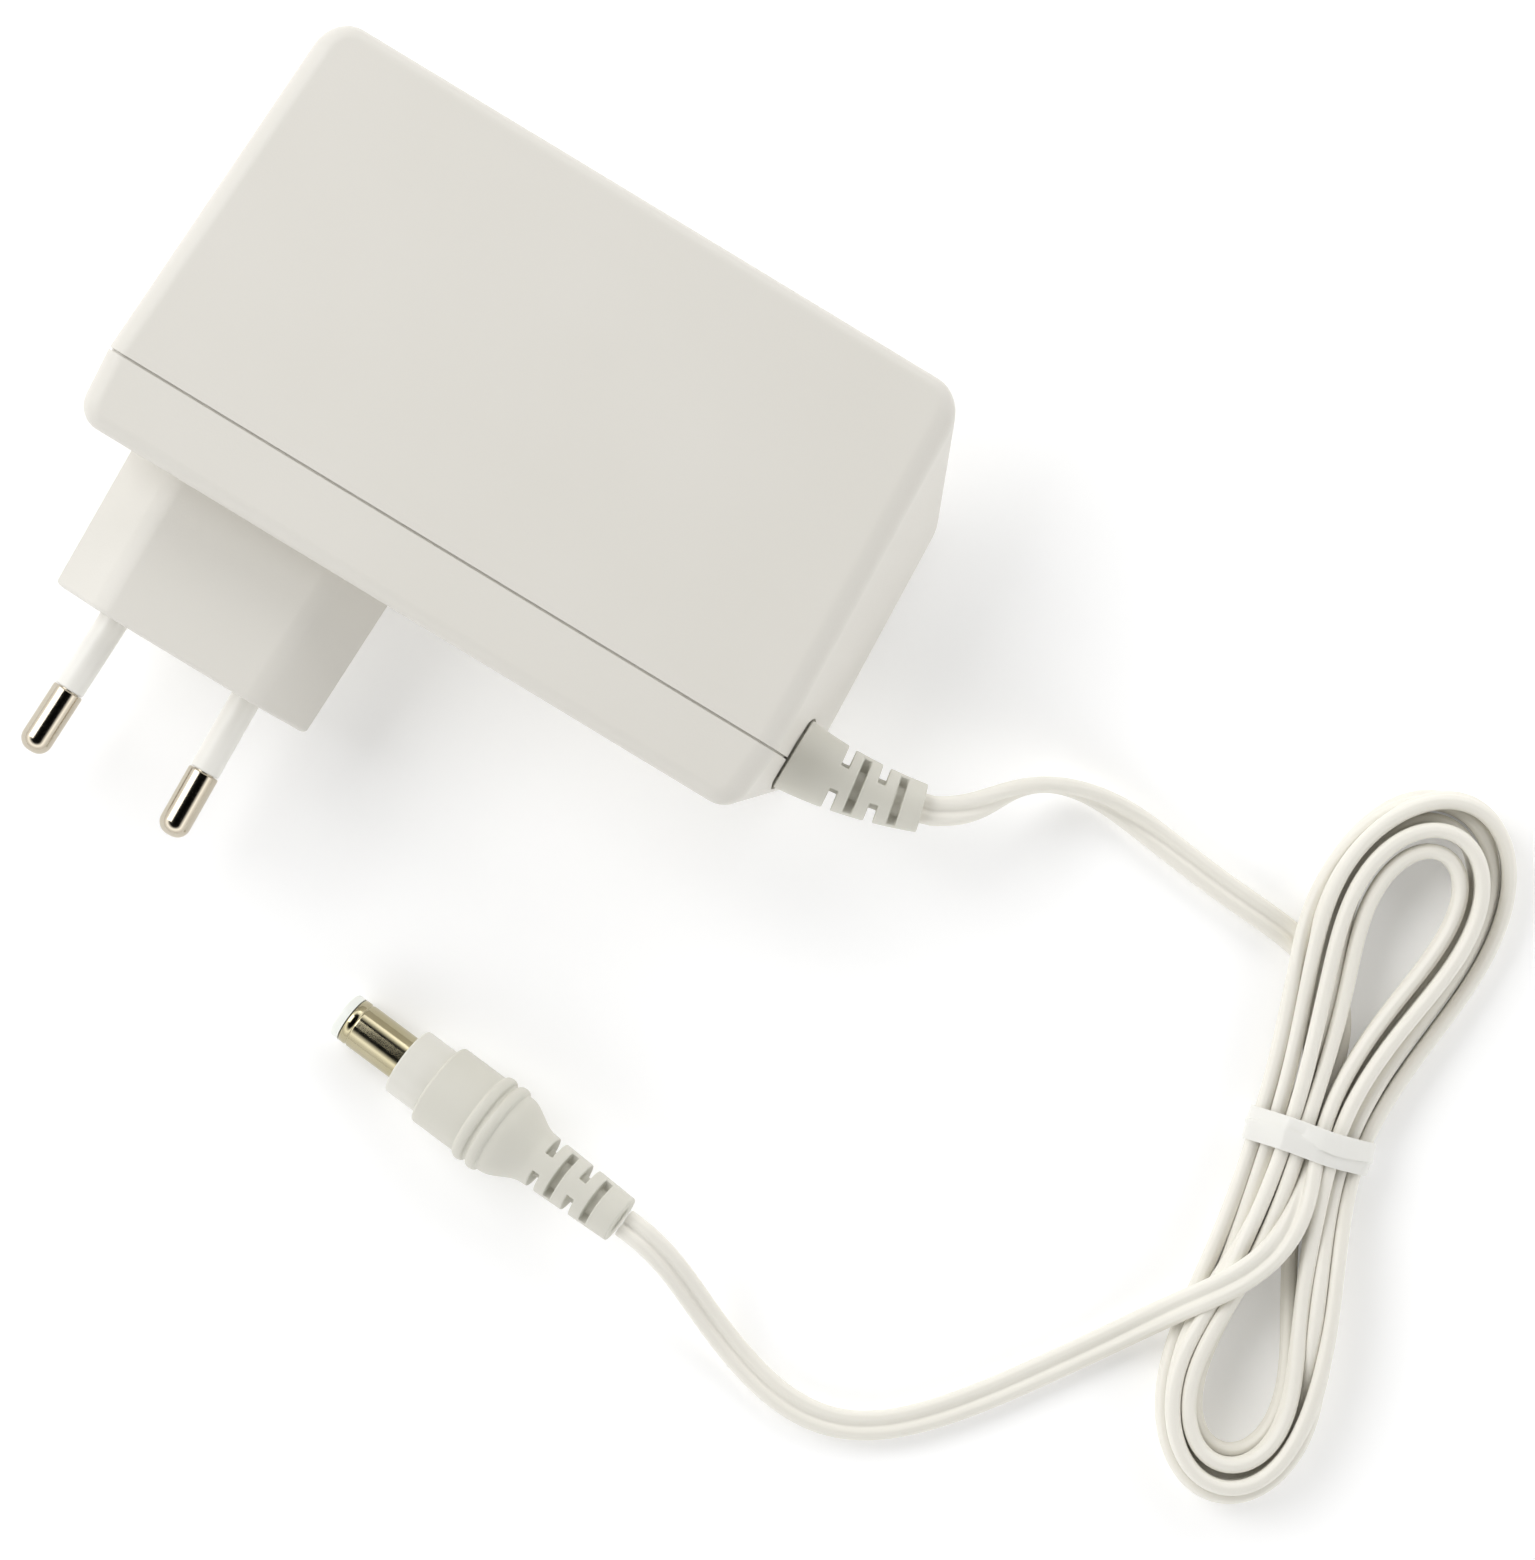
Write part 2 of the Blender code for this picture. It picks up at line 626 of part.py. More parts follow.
def on_board(name, x, y, size, finish, parent, rounded=0.3 * MM):
    """A box-shaped part that stands on the board with its middle at x, y (mm)."""
    wide, deep, tall = size
    low = (x * MM - wide * MM / 2, y * MM - deep * MM / 2, board_top() + GAP)
    high = (x * MM + wide * MM / 2, y * MM + deep * MM / 2, board_top() + GAP + tall * MM)
    return box(name, low, high, finish, parent, rounded)


def electrolytic(name, x, y, diameter, height, finish, parent):
    """Upright capacitor can with its rolled groove near the foot."""
    radius, groove = diameter * MM / 2, 0.5 * MM
    foot = board_top() + GAP
    tall = height * MM
    profile = ((0, 0), (0, radius), (1.2 * MM, radius), (1.6 * MM, radius - groove),
               (2.0 * MM, radius), (tall - groove, radius), (tall, radius - groove), (tall, 0))
    return turned(name, profile, "Z", (x * MM, y * MM, foot), finish, parent)


def disc(name, x, y, diameter, thickness, finish, parent):
    """Upright dipped disc with rounded rims, on two short legs that are one with it."""
    radius, half = diameter * MM / 2, thickness * MM / 2
    profile = ((-half, 0), (-half, radius - half), (0, radius), (half, radius - half), (half, 0))
    lift = 1.5 * MM
    centre = board_top() + GAP + lift + radius
    body = turned(name, profile, "Y", (x * MM, y * MM, centre), finish, parent)
    for sign in (-1, 1):
        leg = sign * radius / 2
        fuse(body, rod(f"{name}_leg{sign}", "Z", (x * MM + leg, y * MM, board_top() + GAP),
                       lift + radius / 2, 0.4 * MM, finish, parent, steps=8))
    return body


def power_device(name, x, y, face, mats, parent):
    """TO-220 style device: moulded body, metal tab and three legs, with its tab facing +-Y."""
    foot = board_top() + GAP
    top = foot + headroom() - TAB_ROOM
    half, deep, tab, body_top, stand = 5.0 * MM, 4.4 * MM, 1.3 * MM, 4.4 * MM, 3.0 * MM
    leg_pitch, leg_y, leg_wide, leg_thick = 2.5 * MM, 2.8 * MM, 0.8 * MM, 0.5 * MM
    x, y = x * MM, y * MM
    low_y, high_y = sorted((y, y - face * deep))
    tab_low, tab_high = sorted((y, y - face * tab))
    body = box(name, (x - half, low_y, foot + stand), (x + half, high_y, top - body_top),
               mats["black_epoxy"], parent)
    plate = box(name + "_tab", (x - half, tab_low, top - body_top - MM),
                (x + half, tab_high, top), mats["aluminium"], parent)
    fuse(body, plate)
    for i in (-1, 0, 1):
        leg = Vector((x + i * leg_pitch, y - face * leg_y, 0.0))
        size = Vector((leg_wide / 2, leg_thick / 2, 0.0))
        low, high = leg - size, leg + size
        low.z, high.z = foot, foot + stand + MM
        fuse(body, box(f"{name}_leg{i}", low, high, mats["nickel"], parent))
    return body


def heatsink(name, x, y, length, face, mats, parent):
    """Upright aluminium plate with a foot bent towards the side away from its device."""
    foot = board_top() + GAP
    x, y, length = x * MM, y * MM, length * MM
    thick = 1.5 * MM
    low_y, high_y = sorted((y, y + face * thick))
    foot_low, foot_high = sorted((y, y + face * 4.4 * MM))
    top = foot + headroom() - HEATSINK_ROOM
    plate = box(name, (x - length / 2, low_y, foot), (x + length / 2, high_y, top),
                mats["aluminium"], parent)
    fuse(plate, box(name + "_foot", (x - length / 2, foot_low, foot),
                    (x + length / 2, foot_high, foot + thick), mats["aluminium"], parent))
    return plate


def transformer(mats, parent):
    """Two E cores meeting on X, a bobbin on their middle leg, and the taped winding."""
    tall = headroom() - TRANSFORMER_ROOM
    foot_flange = 0.4 * MM
    centre = Vector((6.0 * MM, 16.0 * MM, board_top() + GAP + (tall + foot_flange) / 2))
    half_y, outer_leg, middle_leg = 12.0 * MM, 3.2 * MM, 3.0 * MM
    length, back, thick = 11.0 * MM, 4.0 * MM, tall - 2 * WINDING_BUILD
    for name, sign in (("left", -1), ("right", 1)):
        start, root, end = (sign * v for v in (GAP / 2, length - back, length))
        outline = (
            (end, -half_y), (end, half_y), (start, half_y), (start, half_y - outer_leg),
            (root, half_y - outer_leg), (root, middle_leg), (start, middle_leg),
            (start, -middle_leg), (root, -middle_leg), (root, outer_leg - half_y),
            (start, outer_leg - half_y), (start, -half_y),
        )
        bm = prism_mesh(outline, "Z", -thick / 2, thick / 2)
        bmesh.ops.translate(bm, vec=centre, verts=bm.verts)
        add_object("transformer_core_" + name, bm, mats["ferrite"], parent)
    inner_y, inner_z = middle_leg + GAP, thick / 2 + GAP
    skin = 1.0 * MM
    reach = length - back - GAP
    room = half_y - outer_leg - GAP
    bobbin = box("transformer_bobbin",
                 centre - Vector((reach, inner_y + skin, inner_z + skin)),
                 centre + Vector((reach, inner_y + skin, inner_z + skin)),
                 mats["bobbin"], parent)
    for sign in (-1, 1):
        flange = sorted((sign * reach, sign * (reach - skin)))
        fuse(bobbin, box(f"bobbin_flange{sign}",
                         centre + Vector((flange[0], -room, -(tall + foot_flange) / 2)),
                         centre + Vector((flange[1], room, (tall - foot_flange) / 2)),
                         mats["bobbin"], parent))
    cut(bobbin, box("bobbin_bore", centre - Vector((reach + MM, inner_y, inner_z)),
                    centre + Vector((reach + MM, inner_y, inner_z)), mats["bobbin"], parent))
    bore_y, bore_z = inner_y + skin + GAP, inner_z + skin + GAP
    span = reach - skin - GAP
    wound = (tall - foot_flange) / 2 - 0.75 * MM
    winding = box("transformer_winding", centre + Vector((-span, -room, -wound)),
                  centre + Vector((span, room, wound)), mats["winding_tape"], parent)
    cut(winding, box("winding_bore", centre - Vector((span + MM, bore_y, bore_z)),
                     centre + Vector((span + MM, bore_y, bore_z)), mats["winding_tape"],
                     parent))


def mains_choke(mats, parent):
    """Square ferrite ring that stands on edge, with a winding on each upright leg."""
    wide, thick, bar = 7.0 * MM, 4.0 * MM, 3.0 * MM
    tall = (headroom() - OUTPUT_ROOM) / 2
    middle = Vector((-30.0 * MM, 24.0 * MM, board_top() + GAP + tall))
    core = box("choke_core", middle - Vector((wide, thick / 2, tall)),
               middle + Vector((wide, thick / 2, tall)), mats["ferrite"], parent)
    cut(core, box("choke_window", middle - Vector((wide - bar, thick, tall - bar)),
                  middle + Vector((wide - bar, thick, tall - bar)), mats["ferrite"], parent))
    span = tall - bar - GAP
    for name, sign in (("left", -1), ("right", 1)):
        leg = middle + Vector((sign * (wide - bar / 2), 0, 0))
        bore_x, bore_y = bar / 2 + GAP, thick / 2 + GAP
        wrap = 1.6 * MM
        coil = box("choke_winding_" + name, leg - Vector((bore_x + wrap, bore_y + wrap, span)),
                   leg + Vector((bore_x + wrap, bore_y + wrap, span)), mats["copper"], parent,
                   rounded=0.7 * MM)
        cut(coil, box("coil_bore_" + name, leg - Vector((bore_x, bore_y, span + MM)),
                      leg + Vector((bore_x, bore_y, span + MM)), mats["copper"], parent))


def board_parts(mats, parent):
    tall = (headroom() - OUTPUT_ROOM) / MM
    bulk = (headroom() - BULK_ROOM) / MM
    on_board("x_capacitor", -31.0, 11.5, (17.5, 8.0, tall), mats["yellow_case"], parent)
    on_board("bridge_rectifier", -28.0, 31.6, (8.5, 6.4, 3.6), mats["black_epoxy"], parent)
    on_board("optocoupler", 8.0, 1.5, (6.4, 4.6, 3.4), mats["black_epoxy"], parent)
    on_board("controller_chip", -3.7, 9.5, (5.0, 4.0, 1.6), mats["black_epoxy"], parent, 0.0)
    electrolytic("bulk_capacitor", -14.5, 15.5, 14.0, bulk, mats["can_sleeve"], parent)
    electrolytic("output_capacitor_1", 26.5, 5.5, 8.0, tall, mats["can_sleeve"], parent)
    electrolytic("output_capacitor_2", 35.5, 14.0, 8.0, tall, mats["can_sleeve"], parent)
    electrolytic("output_choke", 35.5, 24.5, 7.5, 9.5, mats["ferrite"], parent)
    electrolytic("fuse", -36.6, 3.0, 6.6, 6.0, mats["black_epoxy"], parent)
    disc("varistor", -22.0, 2.2, 7.0, 2.0, mats["blue_epoxy"], parent)
    disc("safety_capacitor", -4.8, 1.2, 7.0, 2.6, mats["blue_epoxy"], parent)
    power_device("switching_transistor", -12.5, 30.6, 1, mats, parent)
    heatsink("primary_heatsink", -12.5, 30.9, 13.0, 1, mats, parent)
    power_device("rectifier_diode", 25.0, 23.7, 1, mats, parent)
    heatsink("secondary_heatsink", 25.0, 24.0, 12.0, 1, mats, parent)
    transformer(mats, parent)
    mains_choke(mats, parent)


# ---- strain reliefs


def slot_outlines(radius, core):
    """Outlines, in the plane across the cord, of a side slot and of a top slot.

    Side slots leave an upright bridge, top slots leave two side skins, and both leave a core
    round the cord.
    """
    far = 2 * radius
    bridge = SLOT_BRIDGE / 2
    start = math.acos(bridge / core)
    arc = [(core * math.cos(a), core * math.sin(a)) for a in np.linspace(start, -start, 7)]
    side = [(bridge, far), *arc, (bridge, -far), (far, -far), (far, far)]
    skin = radius - SLOT_SIDE
    low = math.asin(0.3 * MM / core)
    arch = [(core * math.cos(a), core * math.sin(a)) for a in np.linspace(low, math.pi - low, 9)]
    top = [(skin, 0.3 * MM), *arch, (-skin, 0.3 * MM), (-skin, far), (skin, far)]
    return side, top


def cut_slots(target, places, radius_at, y, z, finish, parent):
    """Cuts side slots and top slots in turn, each in a mirrored pair."""
    core = CORD_WIDTH / 2
    for number, x in enumerate(places):
        side, top = slot_outlines(radius_at(x), core)
        outline, kind = (side, "side") if number % 2 == 0 else (top, "top")
        for sign in (-1, 1):
            flip = [(sign * a, b) if kind == "side" else (a, sign * b) for a, b in outline]
            bm = prism_mesh(flip, "X", x - SLOT_WIDTH / 2, x + SLOT_WIDTH / 2)
            bmesh.ops.translate(bm, vec=(0, y, z), verts=bm.verts)
            cut(target, add_object(f"{target.name}_{kind}{number}{sign}", bm, finish, parent))


def taper_profile(start, end, start_radius, end_radius, count):
    """Points along a straight taper, close enough together that it can be bent."""
    return [(start + (end - start) * t, start_radius + (end_radius - start_radius) * t)
            for t in np.linspace(0.0, 1.0, count)]


def applied(obj):
    """Gives the object the mesh that its modifiers make, and removes them."""
    bpy.context.view_layer.update()
    graph = bpy.context.evaluated_depsgraph_get()
    obj.data = bpy.data.meshes.new_from_object(obj.evaluated_get(graph))
    obj.modifiers.clear()
    return obj


def bend_sideways(obj, start, length, y, angle):
    """Bends everything past start round an upright axis, by angle over the given length."""
    radius = length / angle
    for vert in obj.data.vertices:
        along = vert.co.x - start
        if along <= 0:
            continue
        turn = along / radius
        out = radius - (vert.co.y - y)
        vert.co.x = start + out * math.sin(turn)
        vert.co.y = y + radius - out * math.cos(turn)


def strain_relief(mats, parent):
    """Moulded boot: flange and neck held between the shells, and a slotted, bent taper."""
    start, end = relief_face_x(), relief_face_x() + RELIEF_LENGTH
    flange, neck = RELIEF_FLANGE / 2, RELIEF_NECK / 2
    inner = relief_flange_x()
    profile = [(inner, 0.0), (inner, flange), (inner + RELIEF_FLANGE_THICKNESS, flange),
               (inner + RELIEF_FLANGE_THICKNESS, neck), (start, neck)]
    profile += taper_profile(start, end, RELIEF_BASE / 2, RELIEF_END / 2, 13)
    profile.append((end, 0.0))
    z = CASE_HEIGHT / 2
    boot = turned("strain_relief", profile, "X", (0, RELIEF_Y, z), mats["soft_pvc"], parent,
                  steps=28)

    def radius_at(x):
        return (RELIEF_BASE + (RELIEF_END - RELIEF_BASE) * (x - start) / RELIEF_LENGTH) / 2

    places = [start + slot for slot in RELIEF_SLOTS]
    cut_slots(boot, places, radius_at, RELIEF_Y, z, mats["soft_pvc"], parent)
    bend_sideways(applied(boot), start, RELIEF_LENGTH, RELIEF_Y, RELIEF_BEND)
    return boot


def relief_leads(mats, parent):
    """The cord's two cores inside the case, from the boot's flange down to the board."""
    y, z = RELIEF_Y / MM, CASE_HEIGHT / 2 / MM
    x = (relief_flange_x() - GAP) / MM
    foot = (board_top() + GAP) / MM
    for name, colour, offset in (("positive", "red_wire", 1.1), ("negative", "black_wire", -1.1)):
        points = ((x, y + offset, z), (x - 1.6, y + offset, z),
                  (x - 3.4, y + offset * 1.2, z - 0.8), (x - 4.4, y + offset * 1.5, z - 2.4),
                  (x - 4.4, y + offset * 1.5, foot))
        tube("dc_lead_" + name, points, 1.6 * MM, mats[colour], parent, spacing=0.6)


# ---- cord, hank and tie


def cord_pieces(mats, parent):
    tube("cord_from_case", LEAD_FROM_CASE, CORD_TUBE, mats["soft_pvc"], parent)
    tube("cord_to_plug", LEAD_TO_PLUG, CORD_TUBE, mats["soft_pvc"], parent)
    ring = [*HANK_OUTLINE, HANK_OUTLINE[0]]
    outline = smooth_route([(x, y, 0.0) for x, y in ring], 4.0)[:-1] * MM
    bm = prism_mesh([tuple(p[:2]) for p in outline], "Z", HANK_BOTTOM, HANK_TOP)
    add_object("cord_hank", bm, mats["soft_pvc"], parent)


def cord_tie(mats, parent):
    """Flat strap wrapped once round the hank."""
    half = TIE_SPAN / 2
    low, high = HANK_BOTTOM - GAP, HANK_TOP + GAP
    tie = box("cord_tie", (-half - TIE_THICKNESS, -TIE_WIDTH / 2, low - TIE_THICKNESS),
              (half + TIE_THICKNESS, TIE_WIDTH / 2, high + TIE_THICKNESS), mats["tie_plastic"],
              parent)
    hole = box("tie_hole", (-half, -TIE_WIDTH, low), (half, TIE_WIDTH, high),
               mats["tie_plastic"], parent)
    cut(tie, hole)
    for obj in (tie, hole):
        obj.location = (*TIE_PLACE, 0)
        obj.rotation_euler = (0, 0, TIE_TURN)


# ---- DC plug


def dc_plug(mats, parent):
    """Round plug with its axis along +X from the tip. The grip and its tail are one moulding."""
    barrel, bore = BARREL_DIAMETER / 2, BARREL_BORE / 2
    collar, grip, ring = COLLAR_DIAMETER / 2, GRIP_DIAMETER / 2, RING_DIAMETER / 2
    tail, tail_end = TAIL_DIAMETER / 2, TAIL_END_DIAMETER / 2
    lining = 0.9 * MM
    seat = COLLAR_START + 2.5 * MM
    liner = barrel - lining
    # White tip ring with the tubular lining behind it, inside the metal barrel.
    turned("dc_insulator",
           ((0.0, bore), (0.0, barrel - 0.3 * MM), (0.3 * MM, barrel), (TIP_RING, barrel),
            (TIP_RING, liner - GAP), (seat, liner - GAP), (seat, bore)),
           "X", (0, 0, 0), mats["sleeve_plastic"], parent, loop=True)
    start = TIP_RING + GAP
    groove = 0.15 * MM
    turned("dc_barrel",
           ((start, liner), (start, barrel), (start + 0.9 * MM, barrel),
            (start + 1.1 * MM, barrel - groove), (start + 1.3 * MM, barrel),
            (seat, barrel), (seat, liner)),
           "X", (0, 0, 0), mats["nickel"], parent, loop=True)
    # Tubular spring contact that takes the jack's pin, closed at its back.
    contact, pin_room = bore - GAP, CONTACT_BORE / 2
    turned("dc_contact",
           ((seat - CONTACT_BACK, 0.0), (seat - CONTACT_BACK, pin_room), (CONTACT_START, pin_room),
            (CONTACT_START, contact), (seat, contact), (seat, 0.0)),
           "X", (0, 0, 0), mats["nickel"], parent)
    hub = barrel + GAP
    turned("dc_collar",
           ((seat + GAP, 0.0), (seat + GAP, hub), (COLLAR_START, hub),
            (COLLAR_START, collar - 0.3 * MM), (COLLAR_START + 0.3 * MM, collar),
            (GRIP_START + 2 * MM, collar), (GRIP_START + 2 * MM, 0.0)),
           "X", (0, 0, 0), mats["case_plastic"], parent, steps=32)
    grip_floor = GRIP_START + 2 * MM + GAP
    profile = [(grip_floor, 0.0), (grip_floor, collar + GAP), (GRIP_START, collar + GAP),
               (GRIP_START, grip - 0.4 * MM), (GRIP_START + 0.4 * MM, grip)]
    bead = 0.65 * MM
    for place in RING_PLACES:
        for angle in np.linspace(0.0, math.pi, 5):
            profile.append((place - bead * math.cos(angle),
                            grip + (ring - grip) * math.sin(angle)))
    bell = RING_PLACES[-1] + 1.4 * MM
    for t in np.linspace(0.0, 1.0, 7):
        ease = t * t * (3 - 2 * t)
        profile.append((bell + (TAIL_START - bell) * t, grip + (tail - grip) * ease))
    profile += taper_profile(TAIL_START, PLUG_LENGTH, tail, tail_end, 3)[1:]
    profile.append((PLUG_LENGTH, 0.0))
    body = turned("dc_plug_grip", profile, "X", (0, 0, 0), mats["soft_pvc"], parent, steps=32)

    def radius_at(x):
        return tail + (tail_end - tail) * (x - TAIL_START) / (PLUG_LENGTH - TAIL_START)

    cut_slots(body, TAIL_SLOTS, radius_at, 0.0, 0.0, mats["soft_pvc"], parent)


def plug_frame(parent):
    """The plug rests on its tip and on the edge of its grip, so its tail points up a little."""
    tip = BARREL_DIAMETER / 2
    widest = [(COLLAR_START, COLLAR_DIAMETER / 2), (GRIP_START, GRIP_DIAMETER / 2)]
    widest += [(place, RING_DIAMETER / 2) for place in RING_PLACES]
    rise = max(math.atan((radius - tip) / place) for place, radius in widest)
    lift = tip * math.cos(rise) + 0.2 * MM
    return frame("plug_axis", (*PLUG_TIP, lift), (0.0, -rise, PLUG_HEADING), parent)


# ---- whole object


def centre_on_origin(root, names):
    """Moves the root so that the middle of the named pieces' box is over the origin."""
    bpy.context.view_layer.update()
    graph = bpy.context.evaluated_depsgraph_get()
    points = []
    for name in names:
        evaluated = bpy.data.objects[name].evaluated_get(graph)
        mesh = evaluated.to_mesh()
        points += [evaluated.matrix_world @ vert.co for vert in mesh.vertices]
        evaluated.to_mesh_clear()
    points = np.array(points)
    middle = (points.min(axis=0) + points.max(axis=0)) / 2
    root.location = (-middle[0], -middle[1], -points.min(axis=0)[2])


def main():
    clear_scene()
    mats = all_materials()
    root = frame("adapter")
    rear_housing(mats, root)
    front_cover(mats, root)
    mains_pins(mats, root)
    mains_leads(mats, root)
    circuit_board(mats, root)
    board_parts(mats, root)
    strain_relief(mats, root)
    relief_leads(mats, root)
    cord_pieces(mats, root)
    cord_tie(mats, root)
    dc_plug(mats, plug_frame(root))
    centre_on_origin(root, ("rear_housing", "front_cover", "plug_pin_left", "plug_pin_right"))
    bpy.context.view_layer.update()


main()
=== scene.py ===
"""Looks of a plug-in power adapter: white case, flat twin cord in a tied hank, round DC plug.

Pieces are made in the case's own frame, in millimetres: X runs along the case towards the cord, Y
from the mains pins to the back, Z up, with Y = 0 at the seam between the two case shells. SHIFT
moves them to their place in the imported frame, in metres.
"""

import math

import bmesh
import bpy
import numpy as np
from mathutils import Euler, Matrix, Vector, geometry


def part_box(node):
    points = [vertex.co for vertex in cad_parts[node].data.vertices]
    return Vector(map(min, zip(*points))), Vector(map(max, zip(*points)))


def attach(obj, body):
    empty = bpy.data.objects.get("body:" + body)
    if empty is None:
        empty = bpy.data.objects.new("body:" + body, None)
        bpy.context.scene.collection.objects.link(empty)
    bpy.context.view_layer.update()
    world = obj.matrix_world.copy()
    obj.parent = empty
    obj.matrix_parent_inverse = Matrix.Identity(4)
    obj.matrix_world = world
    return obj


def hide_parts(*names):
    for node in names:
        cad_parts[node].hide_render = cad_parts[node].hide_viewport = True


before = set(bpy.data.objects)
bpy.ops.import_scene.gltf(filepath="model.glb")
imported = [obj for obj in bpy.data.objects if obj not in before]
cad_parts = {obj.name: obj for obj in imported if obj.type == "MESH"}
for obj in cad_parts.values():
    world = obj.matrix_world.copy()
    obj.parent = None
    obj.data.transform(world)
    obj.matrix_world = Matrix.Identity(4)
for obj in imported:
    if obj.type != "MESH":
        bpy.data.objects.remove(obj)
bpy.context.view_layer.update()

MM = 0.001

# ---- sizes, in mm

GAP = 0.3
CASE_LENGTH = 92.8
CASE_HEIGHT = 30.0
MIDDLE = CASE_HEIGHT / 2
REAR = {"side": 1, "depth": 48.8, "lean": 12.5, "taper": 2.4, "corner": 4.0}
FRONT = {"side": -1, "depth": 9.6, "lean": 6.0, "taper": 0.8, "corner": 3.0}
RIGHT_LEAN = 5.0
WALL = 2.2
LIP_WALL = 1.1
LIP_REACH = 2.5
LIP_ROOT = 3.0
EDGE_ROUND = 2.5
EDGE_STEPS = 8
INNER_CORNER, INNER_ROUND = 2.0, 0.8
# The band that closes the seam: its depth under the surface, half its width, and how far its
# middle lies in front of the rear shell's edge.
SEAM_DEPTH, BAND_HALF, BAND_SETBACK = 0.4, 0.9, 0.92

NOSE_X = -21.0
NOSE_WIDTH, NOSE_FLAT, NOSE_THICKNESS = 35.3, 22.0, 13.7
NOSE_REACH = 27.75
NOSE_DRAFT = 0.5
NOSE_WALL = 2.0
NOSE_PLATE = 3.0
NOSE_ROOT = -4.7
NOSE_CREASE, NOSE_RIM = 1.6, 0.6
PIN_BASE_SPACING, PIN_TIP_SPACING = 18.6, 17.5
PIN_LENGTH, PIN_TAIL, PIN_RADIUS, PIN_CORE = 19.0, 11.0, 2.0, 1.3
SLEEVE_LENGTH, SLEEVE_RADIUS = 10.0, 1.9
SLEEVE_CLEARANCE = 0.15

RELIEF_Y = 0.9
RELIEF_X = 48.45
RELIEF_LENGTH = 17.1
RELIEF_BASE, RELIEF_END = 4.7, 3.0
RELIEF_BEND = math.radians(16.5)
RELIEF_NECK, RELIEF_FLANGE, RELIEF_FLANGE_THICKNESS = 3.3, 4.8, 1.6
RELIEF_FLANGE_X = CASE_LENGTH / 2 - WALL - LIP_WALL
RELIEF_SLOTS = (6.4, 8.8, 11.4, 14.0)
SLOT_WIDTH = 1.05
# Half of the angle that a slot spans round the cord.
SLOT_SPAN = math.radians(69)

PLUG_TIP = (17.9, -55.0)
PLUG_HEADING = math.radians(-4.9)
BARREL, BARREL_BORE, BARREL_WALL = 3.0, 1.7, 0.9
TIP_RING = 1.2
COLLAR_START, COLLAR = 9.8, 4.5
GRIP_START, GRIP = 14.6, 5.5
# The plug rests on its grip and on its tip, so its axis rises towards the cord.
PLUG_RISE = math.atan((GRIP - BARREL) / GRIP_START)
# Depth to which the barrel sits in the collar, and the collar in the grip.
BARREL_SEAT, COLLAR_SEAT = 2.5, 2.0
RING_PLACES, RING = (21.9, 23.9), 6.0
TAIL_START, TAIL, TAIL_END, PLUG_LENGTH = 30.2, 3.6, 3.1, 42.8
TAIL_SLOTS = (31.5, 34.0, 36.7, 39.3)

# Flat twin cord: two round cores side by side, joined by a thin web.
CORE = 0.95
CORD_WIDTH = 3.7
CORE_APART = 2 * (CORD_WIDTH / 2 - CORE)
SLOT_CORE = 2 * CORE
TIE_PLACE = (127.2, -6.9)
TIE_TURN = math.radians(14.0)
TIE_WIDTH = 4.2
# Directions along the cord and across it, where the tie holds it.
TIE_AXIS = (math.sin(TIE_TURN), -math.cos(TIE_TURN))
TIE_ACROSS = (math.cos(TIE_TURN), math.sin(TIE_TURN))
# No part of the cord lies further than this from the tie's middle and under it.
TIE_ZONE = 12.0

# Sides of a turned piece, and how near two points count as one.
AROUND = 64
NEAR = 1e-4
RESIN_IOR = 1.5

SHIFT = Vector((
    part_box("rear_housing")[0].x + CASE_LENGTH / 2 * MM,
    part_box("rear_housing")[0].y - GAP / 2 * MM,
    0.0,
))


def placed(point):
    """A point of the case's frame, in mm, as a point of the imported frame, in metres."""
    return Vector(point) * MM + SHIFT


# ---- materials


def linear(code):
    """The linear colour of an sRGB hex value."""
    values = [int(code[i:i + 2], 16) / 255 for i in (0, 2, 4)]
    return (*[v / 12.92 if v <= 0.04045 else ((v + 0.055) / 1.055) ** 2.4 for v in values], 1.0)


def add(tree, kind, inputs, **settings):
    """Adds a node with its settings; an input is a value or another node's output."""
    made = tree.nodes.new("ShaderNode" + kind)
    for name, value in settings.items():
        setattr(made, name, value)
    for key, value in inputs.items():
        if isinstance(value, bpy.types.NodeSocket):
            tree.links.new(value, made.inputs[key])
        else:
            made.inputs[key].default_value = value
    return made


